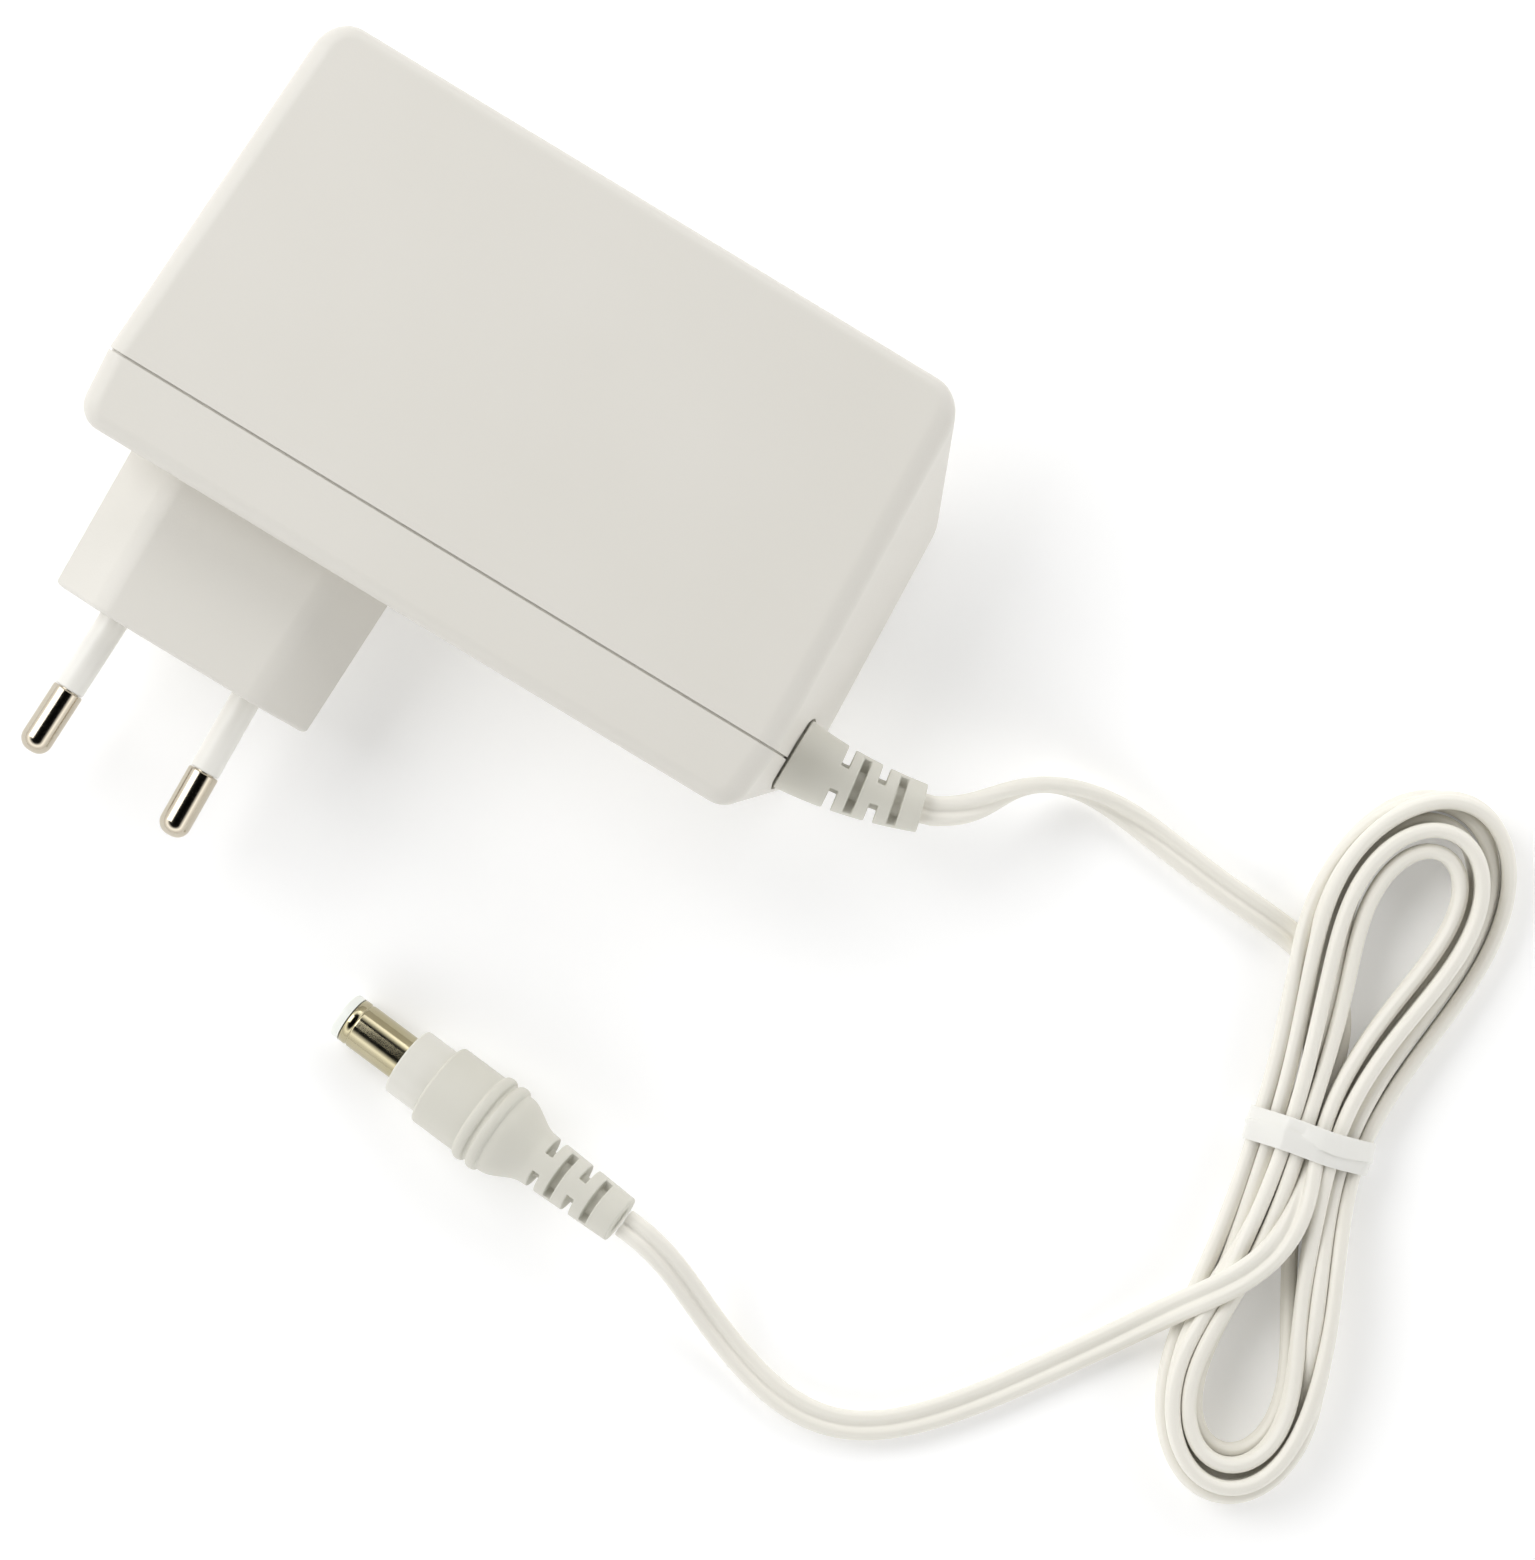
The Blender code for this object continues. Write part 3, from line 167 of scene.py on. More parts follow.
def surface(name, colour, tint, rough, drift, grain, depth, metallic=0.0):
    """A material whose colour wanders from colour to tint over drift mm, whose roughness runs
    between the two values of rough, and whose grain is grain mm wide and depth mm deep."""
    made = bpy.data.materials.new(name)
    made.use_nodes = True
    tree = made.node_tree
    place = add(tree, "TexCoord", {}).outputs["Object"]
    wander = add(tree, "TexNoise", {"Vector": place, "Scale": 1 / (drift * MM), "Detail": 3.0})
    mix = add(tree, "Mix", {0: wander.outputs[0], 6: linear(colour), 7: linear(tint)},
              data_type="RGBA")
    height = add(tree, "TexNoise", {"Vector": place, "Scale": 1 / (grain * MM), "Detail": 2.0})
    gloss = add(tree, "MapRange", {"Value": height.outputs[0], "To Min": rough[0],
                                   "To Max": rough[1]})
    bump = add(tree, "Bump", {"Height": height.outputs[0], "Distance": depth * MM})
    shader = tree.nodes["Principled BSDF"]
    shader.inputs["Metallic"].default_value = metallic
    if not metallic:
        shader.inputs["IOR"].default_value = RESIN_IOR
    tree.links.new(mix.outputs[2], shader.inputs["Base Color"])
    tree.links.new(gloss.outputs[0], shader.inputs["Roughness"])
    tree.links.new(bump.outputs[0], shader.inputs["Normal"])
    made.diffuse_color = linear(colour)
    return made


# Polycarbonate and ABS blend, moulded in a spark-eroded mould: satin, with a fine even grain.
CASE_PLASTIC = surface("moulded_pc_abs_white", "D6D3CB", "DAD7D0", (0.42, 0.56), 22, 0.3, 0.012)
# The collar is the same resin from a polished mould.
COLLAR_PLASTIC = surface("moulded_abs_white", "D9D7CE", "DDDBD3", (0.34, 0.42), 12, 0.3, 0.005)
# Flexible PVC of the boot and the grip, moulded round the cord: matt and a little yellower.
SOFT_PVC = surface("moulded_pvc_ivory", "CDCBC0", "D3D1C7", (0.46, 0.58), 9, 0.22, 0.010)
# Polyamide strap, cold white and smooth.
TIE_NYLON = surface("extruded_nylon_white", "E6E5DF", "EBEAE5", (0.30, 0.42), 5, 0.5, 0.012)
# Insulating sleeves of the pins: hard white nylon, slightly glossy.
SLEEVE_NYLON = surface("moulded_nylon_white", "E6E4DD", "EAE8E2", (0.28, 0.36), 8, 0.3, 0.004)
# Tip ring of the plug: natural polyoxymethylene, a little translucent and waxy.
TIP_RESIN = surface("moulded_pom_natural", "E9ECE6", "F0F2EC", (0.25, 0.34), 5, 0.3, 0.003)
# Nickel-plated brass of the pins, tumbled bright.
PIN_NICKEL = surface("plated_nickel_bright", "C9C1B2", "BFB5A2", (0.10, 0.19), 4, 0.5, 0.0012, 1.0)
# Nickel-plated brass tube of the plug. Its olive-to-tan colour is a painted reflection of olive
# surroundings, which the grey sky does not give.
BARREL_NICKEL = surface("plated_nickel_painted_olive_reflection", "BCB49A", "AFA684", (0.09, 0.17), 5, 0.6, 0.001, 1.0)


def ridged_cord():
    """Extruded PVC of the cord: satin, with fine ridges left along it by the die. The piece's UV
    map runs round the cord and along it, in metres."""
    made = surface("extruded_pvc_ivory", "E7E4DA", "ECE9E0", (0.36, 0.48), 14, 0.25, 0.006)
    tree = made.node_tree
    shader = tree.nodes["Principled BSDF"]
    grain = shader.inputs["Normal"].links[0].from_socket
    lengthwise = add(tree, "UVMap", {}, uv_map="along_cord").outputs[0]
    ridges = add(tree, "TexWave", {"Vector": lengthwise, "Scale": 1 / (2.2 * MM),
                                   "Distortion": 0.6, "Detail": 1.0, "Detail Scale": 0.02},
                 wave_type="BANDS", bands_direction="X", wave_profile="SIN")
    bump = add(tree, "Bump", {"Height": ridges.outputs[1], "Distance": 0.018 * MM,
                              "Normal": grain})
    tree.links.new(bump.outputs[0], shader.inputs["Normal"])
    return made


CORD_PVC = ridged_cord()

# A wave of scale 1 repeats about every 0.31 of a unit.
WAVE_LENGTH = 0.314


def banded(made, width, depth, direction, dark, share):
    """Adds straight bands of the given width in mm to a material: turns of wire, layers of tape or
    marks of rolling. Up to the given share, they turn the colour to the dark hex value, and they
    raise the surface by depth mm."""
    tree = made.node_tree
    shader = tree.nodes["Principled BSDF"]
    place = add(tree, "TexCoord", {}).outputs["Object"]
    bands = add(tree, "TexWave", {"Vector": place, "Scale": WAVE_LENGTH / (width * MM)},
                wave_type="BANDS", bands_direction=direction, wave_profile="SIN")
    below = shader.inputs["Base Color"].links[0].from_socket
    shade = add(tree, "MapRange", {"Value": bands.outputs[1], "To Min": share, "To Max": 0.0})
    mix = add(tree, "Mix", {0: shade.outputs[0], 6: below, 7: linear(dark)}, data_type="RGBA")
    bump = add(tree, "Bump", {"Height": bands.outputs[1], "Distance": depth * MM,
                              "Normal": shader.inputs["Normal"].links[0].from_socket})
    tree.links.new(mix.outputs[2], shader.inputs["Base Color"])
    tree.links.new(bump.outputs[0], shader.inputs["Normal"])
    return made


# ---- mesh helpers


def make_piece(name, bm, material, slot, *nodes, sharp=35.0, weighted=True):
    """Places a mesh of the case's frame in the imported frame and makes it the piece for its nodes."""
    bmesh.ops.scale(bm, vec=(MM, MM, MM), verts=bm.verts)
    bmesh.ops.translate(bm, vec=SHIFT, verts=bm.verts)
    mesh = bpy.data.meshes.new(name)
    bm.to_mesh(mesh)
    bm.free()
    mesh.materials.append(material)
    mesh.shade_smooth()
    mesh.set_sharp_from_angle(angle=math.radians(sharp))
    obj = bpy.data.objects.new(name, mesh)
    bpy.context.scene.collection.objects.link(obj)
    if weighted:
        obj.modifiers.new("flat_faces", "WEIGHTED_NORMAL").keep_sharp = True
    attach(obj, "root")
    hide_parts(*nodes)
    return obj


def rounded(obj, width):
    """Rounds the piece's sharp edges; width in mm."""
    bevel = obj.modifiers.new("edge_round", "BEVEL")
    bevel.width = width * MM
    bevel.segments = 2
    bevel.limit_method = "ANGLE"
    bevel.angle_limit = math.radians(40)
    bevel.harden_normals = False
    obj.modifiers.move(len(obj.modifiers) - 1, 0)
    return obj


def turned_mesh(profile, loop=False):
    """Turns (along, radius) points round the X axis. A loop is a hollow ring's section."""
    bm = bmesh.new()
    verts = [bm.verts.new((along, radius, 0.0)) for along, radius in profile]
    edges = [bm.edges.new(pair) for pair in zip(verts, verts[1:])]
    if loop:
        edges.append(bm.edges.new((verts[-1], verts[0])))
    bmesh.ops.spin(bm, geom=verts + edges, cent=(0, 0, 0), axis=(1, 0, 0), angle=math.tau,
                   steps=AROUND, use_merge=True)
    bmesh.ops.remove_doubles(bm, verts=bm.verts, dist=NEAR)
    bmesh.ops.recalc_face_normals(bm, faces=bm.faces)
    return bm


def arc(centre, radius, start, end, count):
    """(along, radius) points on an arc; angles in degrees, 0 along +X and 90 outwards."""
    return [(centre[0] + radius * math.cos(math.radians(a)),
             centre[1] + radius * math.sin(math.radians(a)))
            for a in np.linspace(start, end, count)]


def cut_slots(bm, places, core):
    """Sinks slots to a core round the cord: a pair from the sides, then a pair from top and
    bottom, in turn along the taper. The mesh has a ring at each slot's two edges."""
    reach = math.cos(SLOT_SPAN)
    for number, place in enumerate(places):
        for sign in (-1, 1):
            pocket = []
            for face in bm.faces:
                middle = face.calc_center_median()
                out = Vector((0.0, middle.y, middle.z))
                if abs(middle.x - place) > SLOT_WIDTH / 2 or out.length < core:
                    continue
                if abs(face.normal.x) > 0.5:
                    continue
                toward = out.normalized()[1 if number % 2 == 0 else 2]
                if toward * sign > reach:
                    pocket.append(face)
            made = bmesh.ops.extrude_face_region(bm, geom=pocket)
            for vert in [v for v in made["geom"] if isinstance(v, bmesh.types.BMVert)]:
                out = Vector((0.0, vert.co.y, vert.co.z))
                vert.co = Vector((vert.co.x, 0, 0)) + out.normalized() * core
            bmesh.ops.delete(bm, geom=[f for f in pocket if f.is_valid], context="FACES")
    bmesh.ops.recalc_face_normals(bm, faces=bm.faces)


def taper(start, end, start_radius, end_radius, slots):
    """Profile points along a taper, with a ring at each slot's edges."""
    step = 0.8
    edges = sorted(p + s * SLOT_WIDTH / 2 for p in slots for s in (-1, 1))
    marks = [start, *edges, end]
    places = []
    for a, b in zip(marks, marks[1:]):
        count = max(1, round((b - a) / step))
        places += [a + (b - a) * i / count for i in range(count)]
    places.append(end)
    return [(x, start_radius + (end_radius - start_radius) * (x - start) / (end - start))
            for x in places]


# ---- case


def plane(a, b, c, inside, inset):
    """Outward normal and offset of the plane through three points, moved inward by inset."""
    normal = (Vector(b) - Vector(a)).cross(Vector(c) - Vector(a)).normalized()
    if normal.dot(Vector(inside) - Vector(a)) > 0:
        normal = -normal
    return np.array(normal), normal.dot(Vector(a)) - inset


def half_block(half, inset, start, end=None, corner=0.0, rounding=0.0):
    """One half of the case as a solid block, its walls moved inward by inset. It starts at Y =
    start, and end overrides its far end."""
    side, depth, lean, taper_x = half["side"], half["depth"], half["lean"], half["taper"]
    wide, top = CASE_LENGTH / 2, CASE_HEIGHT
    inside = (0.0, side * depth / 3, top / 2)
    end_top, end_bottom = side * depth, side * (depth - lean)
    walls = {
        "left": plane((-wide, 0, top), (-wide, 0, 0), (taper_x - wide, end_top, top), inside,
                      inset),
        "right": plane((wide, 0, top), (wide + RIGHT_LEAN, 0, 0), (wide - taper_x, end_top, top),
                       inside, inset),
        "end": plane((0, end_top, top), (1, end_top, top), (0, end_bottom, 0), inside, inset),
        "seam": (np.array((0.0, -side, 0.0)), -side * start),
        "top": (np.array((0.0, 0.0, 1.0)), top - inset),
        "bottom": (np.array((0.0, 0.0, -1.0)), -inset),
    }
    if end is not None:
        walls["end"] = (np.array((0.0, side, 0.0)), side * end)
    bm = bmesh.new()
    bmesh.ops.create_cube(bm, size=2.0)
    for vert in bm.verts:
        names = (
            "left" if vert.co.x < 0 else "right",
            "end" if vert.co.y * side > 0 else "seam",
            "bottom" if vert.co.z < 0 else "top",
        )
        normals, offsets = zip(*(walls[name] for name in names))
        vert.co = np.linalg.solve(np.array(normals), np.array(offsets))

    def at_start(vert):
        return abs(vert.co.y - start) < NEAR

    if corner:
        upright = [e for e in bm.edges if not any(at_start(v) for v in e.verts)
                   and abs(e.verts[0].co.z - e.verts[1].co.z) > top / 2]
        bmesh.ops.bevel(bm, geom=upright, offset=corner, segments=EDGE_STEPS, profile=0.5,
                        affect="EDGES", material=-1)
    if rounding:
        low, high = min(v.co.z for v in bm.verts), max(v.co.z for v in bm.verts)
        rims = [e for e in bm.edges if not all(at_start(v) for v in e.verts)
                and (all(v.co.z < low + 10 * NEAR for v in e.verts)
                     or all(v.co.z > high - 10 * NEAR for v in e.verts))]
        bmesh.ops.bevel(bm, geom=rims, offset=rounding, segments=EDGE_STEPS, profile=0.5,
                        affect="EDGES", material=-1)
    bmesh.ops.recalc_face_normals(bm, faces=bm.faces)
    return bm


def scratch(bm):
    """A mesh object in the case's frame, for the Boolean cuts."""
    mesh = bpy.data.meshes.new("scratch")
    bm.to_mesh(mesh)
    bm.free()
    obj = bpy.data.objects.new("scratch", mesh)
    bpy.context.scene.collection.objects.link(obj)
    return obj


def carved(body, *steps):
    """The body's mesh after each (operation, other mesh) is applied to it."""
    base = scratch(body)
    others = []
    for operation, other in steps:
        others.append(scratch(other))
        modifier = base.modifiers.new(operation, "BOOLEAN")
        modifier.operation = operation
        modifier.solver = "EXACT"
        modifier.object = others[-1]
    bpy.context.view_layer.update()
    graph = bpy.context.evaluated_depsgraph_get()
    made = bmesh.new()
    made.from_mesh(base.evaluated_get(graph).data)
    for obj in (base, *others):
        bpy.data.objects.remove(obj)
    bmesh.ops.remove_doubles(made, verts=made.verts, dist=NEAR)
    return made


def relief_hole():
    """Cutter for the boot's neck, its inner flange and the flat seat that its taper stands on."""
    back = RELIEF_FLANGE_X - GAP
    front = RELIEF_FLANGE_X + RELIEF_FLANGE_THICKNESS + GAP
    outside = RELIEF_X + 6
    neck, flange, seat = RELIEF_NECK + GAP, RELIEF_FLANGE + GAP, RELIEF_BASE + GAP
    bm = turned_mesh([(back, 0), (back, flange), (front, flange), (front, neck),
                      (RELIEF_X - GAP, neck), (RELIEF_X - GAP, seat), (outside, seat),
                      (outside, 0)])
    bmesh.ops.translate(bm, vec=(0, RELIEF_Y, MIDDLE), verts=bm.verts)
    return bm


def nose_mesh(inset, front, back):
    """Six-sided nose between two Y places, wider at its root by its draft."""
    # How far a slanted corner moves in X for each mm of wall, and in X and Z for each of draft.
    corner_wall, corner_draft = 0.41, 0.7
    span = NOSE_REACH - FRONT["depth"]
    bm = bmesh.new()
    rings = []
    for y in (front, back):
        grow = NOSE_DRAFT * (y + NOSE_REACH) / span
        wide = NOSE_WIDTH / 2 - inset + grow
        flat = NOSE_FLAT / 2 - inset * corner_wall + grow * corner_draft
        thick = NOSE_THICKNESS / 2 - inset + grow * corner_draft
        outline = ((-wide, 0), (-flat, thick), (flat, thick), (wide, 0), (flat, -thick),
                   (-flat, -thick))
        rings.append([bm.verts.new((NOSE_X + x, y, MIDDLE + z)) for x, z in outline])
    faces = [bm.faces.new(ring) for ring in rings]
    bmesh.ops.bridge_loops(bm, edges=[e for face in faces for e in face.edges])
    bmesh.ops.recalc_face_normals(bm, faces=bm.faces)
    if not inset:
        creases = [e for e in bm.edges if abs(e.verts[0].co.y - e.verts[1].co.y) > span / 2
                   and abs(e.verts[0].co.z - MIDDLE) > 1]
        bmesh.ops.bevel(bm, geom=creases, offset=NOSE_CREASE, segments=6, profile=0.5,
                        affect="EDGES", material=-1)
        rim = [e for e in bm.edges if all(abs(v.co.y - front) < NEAR for v in e.verts)]
        bmesh.ops.bevel(bm, geom=rim, offset=NOSE_RIM, segments=4, profile=0.5, affect="EDGES",
                        material=-1)
    return bm


def pin_frame(sign):
    """Frame of a pin: X along it, from the nose's face towards the case. The pins lean together."""
    lean = math.atan((PIN_BASE_SPACING - PIN_TIP_SPACING) / 2 / PIN_LENGTH)
    place = (NOSE_X + sign * PIN_BASE_SPACING / 2, -NOSE_REACH, MIDDLE)
    turn = Euler((0, 0, math.pi / 2 + sign * lean)).to_matrix().to_4x4()
    return Matrix.Translation(place) @ turn


def pin_hole(sign):
    """Cutter through the nose's face for a pin's sleeve."""
    hole, start, end = SLEEVE_RADIUS + SLEEVE_CLEARANCE, -1, NOSE_PLATE + 1
    bm = turned_mesh([(start, 0), (start, hole), (end, hole), (end, 0)])
    bmesh.ops.transform(bm, matrix=pin_frame(sign), verts=bm.verts)
    return bm


def rear_housing():
    """Deep shell, open at the seam, with half of the boot's hole."""
    outer = half_block(REAR, 0.0, GAP / 2, corner=REAR["corner"], rounding=EDGE_ROUND)
    room = half_block(REAR, WALL, -1.0, corner=INNER_CORNER, rounding=INNER_ROUND)
    made = carved(outer, ("DIFFERENCE", room), ("DIFFERENCE", relief_hole()))
    return make_piece("rear_shell", made, CASE_PLASTIC, "case_plastic", "rear_housing", sharp=30)


def seam_band():
    """The step of the front cover that closes the seam a little below the surface."""
    slab = bmesh.new()
    bmesh.ops.create_cube(slab, size=2.0)
    bmesh.ops.scale(slab, vec=(60, BAND_HALF, 40), verts=slab.verts)
    bmesh.ops.translate(slab, vec=(0, GAP / 2 - BAND_SETBACK, 0), verts=slab.verts)
    return carved(half_block(REAR, SEAM_DEPTH, -LIP_ROOT, rounding=EDGE_ROUND - SEAM_DEPTH),
                  ("INTERSECT", slab))


def front_cover():
    """Shallow shell with the plug's hollow nose, and a lip that reaches into the rear shell."""
    thick = WALL + GAP + LIP_WALL
    outer = half_block(FRONT, 0.0, -GAP / 2, corner=FRONT["corner"], rounding=EDGE_ROUND)
    made = carved(
        outer,
        ("UNION", seam_band()),
        ("UNION", half_block(REAR, WALL + GAP, -LIP_ROOT, end=LIP_REACH)),
        ("UNION", nose_mesh(0.0, -NOSE_REACH, NOSE_ROOT)),
        ("DIFFERENCE", half_block(FRONT, thick, LIP_REACH + 1)),
        ("DIFFERENCE", half_block(REAR, thick, -LIP_ROOT, end=LIP_REACH + 1)),
        ("DIFFERENCE", nose_mesh(NOSE_WALL, NOSE_PLATE - NOSE_REACH, 0.0)),
        ("DIFFERENCE", pin_hole(-1)), ("DIFFERENCE", pin_hole(1)),
        ("DIFFERENCE", relief_hole()),
    )
    return make_piece("front_shell", made, CASE_PLASTIC, "case_plastic", "front_cover", sharp=30)


def mains_pins():
    """Bright pins with a half-round tip, and their insulating sleeves."""
    tip, chamfer = 1.7, 0.15
    neck = -SLEEVE_LENGTH - GAP
    pin = [(PIN_TAIL, 0), (PIN_TAIL, PIN_CORE), (neck, PIN_CORE), (neck, PIN_RADIUS - chamfer),
           (neck - chamfer, PIN_RADIUS)]
    pin += arc((tip - PIN_LENGTH, PIN_RADIUS - tip), tip, 90, 180, 12)
    pin.append((-PIN_LENGTH, 0))
    bore, end, edge = PIN_CORE + 0.1, neck + 0.08, 0.25
    sleeve = [(NOSE_PLATE, bore), (NOSE_PLATE, SLEEVE_RADIUS), (end + edge, SLEEVE_RADIUS),
              *arc((end + edge, SLEEVE_RADIUS - edge), edge, 90, 180, 5)[1:], (end, bore)]
    for name, sign in (("left", -1), ("right", 1)):
        for kind, profile, material, slot, loop in (
                ("plug_pin_", pin, PIN_NICKEL, "pin_nickel", False),
                ("pin_sleeve_", sleeve, SLEEVE_NYLON, "pin_sleeve_nylon", True)):
            bm = turned_mesh(profile, loop=loop)
            bmesh.ops.transform(bm, matrix=pin_frame(sign), verts=bm.verts)
            make_piece(kind + name + "_skin", bm, material, slot, kind + name, weighted=False)


# ---- boot and DC plug


def strain_relief():
    """Boot held between the shells, with a slotted taper that bends with the cord."""
    start, end = RELIEF_X, RELIEF_X + RELIEF_LENGTH
    slots = [start + slot for slot in RELIEF_SLOTS]
    inner = RELIEF_FLANGE_X
    profile = [(inner, 0), (inner, RELIEF_FLANGE), (inner + RELIEF_FLANGE_THICKNESS,
               RELIEF_FLANGE), (inner + RELIEF_FLANGE_THICKNESS, RELIEF_NECK),
               (start, RELIEF_NECK), *taper(start, end, RELIEF_BASE, RELIEF_END, slots), (end, 0)]
    bm = turned_mesh(profile)
    cut_slots(bm, slots, SLOT_CORE)
    radius = RELIEF_LENGTH / RELIEF_BEND
    for vert in bm.verts:
        along = max(0.0, vert.co.x - start)
        if along:
            out = radius - vert.co.y
            vert.co.x = start + out * math.sin(along / radius)
            vert.co.y = radius - out * math.cos(along / radius)
    bmesh.ops.translate(bm, vec=(0, RELIEF_Y, MIDDLE), verts=bm.verts)
    return rounded(make_piece("cord_boot", bm, SOFT_PVC, "moulded_pvc", "strain_relief",
                              sharp=50), 0.16)


def plug_piece(name, profile, material, slot, node, loop=False, slots=()):
    """A piece of the DC plug, turned round the plug's own axis and laid where the plug lies."""
    bm = turned_mesh(profile, loop=loop)
    if slots:
        cut_slots(bm, slots, SLOT_CORE)
    lift = BARREL * math.cos(PLUG_RISE) + 0.2
    turn = Euler((0, -PLUG_RISE, PLUG_HEADING)).to_matrix().to_4x4()
    bmesh.ops.transform(bm, matrix=Matrix.Translation((*PLUG_TIP, lift)) @ turn, verts=bm.verts)
    return make_piece(name, bm, material, slot, node, sharp=50, weighted=not slots)


def dc_plug():
    """Tip ring, metal barrel, collar, and the grip with its two ribs and slotted tail."""
    liner, seat = BARREL - BARREL_WALL, COLLAR_START + BARREL_SEAT
    lining, chamfer, edge = liner - 0.1, 0.15, 0.4
    pieces = [plug_piece(
        "plug_tip_ring",
        [(chamfer, BARREL_BORE), (0.0, BARREL_BORE + chamfer),
         *arc((edge, BARREL - edge), edge, 180, 90, 5), (TIP_RING, BARREL), (TIP_RING, lining),
         (seat, lining), (seat, BARREL_BORE)],
        TIP_RESIN, "tip_plastic", "dc_insulator", loop=True)]
    start, chamfer = TIP_RING + 0.08, 0.12
    # A fine groove runs round the barrel, close behind its tip.
    groove, groove_half, groove_depth = start + 1.1, 0.25, 0.16
    pieces.append(plug_piece(
        "plug_barrel",
        [(start, liner), (start, BARREL - chamfer), (start + chamfer, BARREL),
         (groove - groove_half, BARREL), (groove, BARREL - groove_depth),
         (groove + groove_half, BARREL), (seat, BARREL), (seat, liner)],
        BARREL_NICKEL, "barrel_nickel", "dc_barrel", loop=True))
    hub, edge, end = BARREL + 0.05, 0.3, GRIP_START + COLLAR_SEAT
    pieces.append(plug_piece(
        "plug_collar",
        [(seat + GAP, 0), (seat + GAP, hub), (COLLAR_START, hub),
         *arc((COLLAR_START + edge, COLLAR - edge), edge, 180, 90, 6), (end, COLLAR), (end, 0)],
        COLLAR_PLASTIC, "collar_plastic", "dc_collar"))
    floor, socket, edge = end + GAP, COLLAR + 0.06, 0.45
    profile = [(floor, 0), (floor, socket), (GRIP_START, socket),
               *arc((GRIP_START + edge, GRIP - edge), edge, 180, 90, 7)]
    rise, rib_half = RING - GRIP, 0.75
    for place in RING_PLACES:
        for angle in np.radians(np.linspace(-90, 90, 13)):
            swell = math.cos(angle) ** 0.8
            profile.append((place + rib_half * math.sin(angle), GRIP + rise * swell))
    bell = RING_PLACES[-1] + 1.3
    for t in np.linspace(0.0, 1.0, 16):
        ease = t * t * (3 - 2 * t)
        profile.append((bell + (TAIL_START - bell) * t, GRIP + (TAIL - GRIP) * ease))
    profile += taper(TAIL_START, PLUG_LENGTH, TAIL, TAIL_END, TAIL_SLOTS)[1:]
    profile.append((PLUG_LENGTH, 0))
    grip = plug_piece("plug_grip", profile, SOFT_PVC, "moulded_pvc", "dc_plug_grip",
                      slots=TAIL_SLOTS)
    pieces.append(rounded(grip, 0.14))
    return pieces


# ---- cord

# Routes of the cord's free stretches, in mm, as the CAD solids lie. The first point is in the end
# of the boot, where the CAD solid has not begun yet.
LEAD_FROM_CASE = (
    (63.6, 2.9, 15.0),
    (66.0, 3.6, 15.0), (67.9, 4.2, 14.8), (70.0, 5.9, 13.6), (71.9, 8.6, 11.4), (74.0, 11.4, 8.6),
    (76.4, 13.6, 6.0), (79.4, 15.0, 4.1), (82.8, 15.8, 3.0), (86.6, 15.9, 2.4), (91.1, 15.5, 2.1),
    (95.8, 15.0, 2.0), (100.4, 14.5, 2.0), (105.0, 14.1, 2.0), (108.6, 13.8, 2.0),
    (112.15, 13.6, 2.0),
)
LEAD_TO_PLUG = (
    (123.6, -33.4, 4.4), (121.6, -37.0, 2.6), (118.4, -41.9, 2.1), (114.7, -47.3, 2.1),
    (110.9, -52.8, 2.1), (106.8, -58.1, 2.1), (102.4, -62.6, 2.1), (99.4, -65.1, 2.1),
    (96.2, -66.8, 2.1), (92.4, -67.7, 2.1), (87.4, -67.5, 2.1), (81.4, -66.0, 2.1),
    (76.6, -64.2, 3.2), (72.6, -62.4, 5.4), (69.2, -60.8, 8.0), (66.2, -59.6, 10.0),
    (63.4, -58.95, 10.9), (60.5, -58.65, 10.6),
)
# The hank's middle line, as X at a few places along Y.
HANK_AXIS_Y = (-52.0, -40.0, -30.0, -20.0, -7.0, 8.0, 22.0, 39.0)
HANK_AXIS_X = (139.8, 136.9, 134.6, 131.5, 127.2, 124.6, 123.3, 123.0)
# Where the tie crosses that line, and where the top and the bottom loops start.
TIE_Y = -7.0
TOP_Y = 22.0
BOTTOM_Y = -36.0
# Each turn of the hank: its right-hand run, the bottom loop it goes round (right, left, reach,
# height at its right and left), its left-hand run, and the top loop (left, right, reach, height at
# its left and right). A run is its place across the tie and its height there, then the height it
# rises to above and below the tie, where it crosses other runs.
TURNS = (
    ((0.0, 2.3, 0, 0), (141.2, 130.2, -46.4, 1.9, 1.9),
     (-1.9, 2.3, 4.3, 0), (114.7, 130.3, 36.2, 2.0, 1.9)),
    ((2.2, 2.3, 0, 0), (145.5, 126.0, -50.9, 1.9, 1.9),
     (-6.5, 3.2, 4.3, 0), (112.4, 132.4, 38.5, 1.9, 1.9)),
    ((4.7, 4.4, 0, 6.2), (143.4, 128.1, -48.7, 2.2, 1.9),
     (-4.7, 4.2, 4.8, 0), (113.5, 134.5, 39.1, 5.8, 2.4)),
    ((6.5, 3.6, 0, 6.2), (144.4, 127.1, -49.7, 5.8, 5.8),
     (-2.9, 5.9, 0, 0), (116.0, 131.2, 35.4, 5.8, 5.7)),
    ((2.9, 6.2, 0, 0), (142.2, 129.2, -47.5, 5.7, 5.7),
     (-1.0, 6.0, 0, 0), (118.4, 128.6, 33.4, 4.8, 4.4)),
)
LAST_SLOT = (0.9, 6.1, 0, 0)
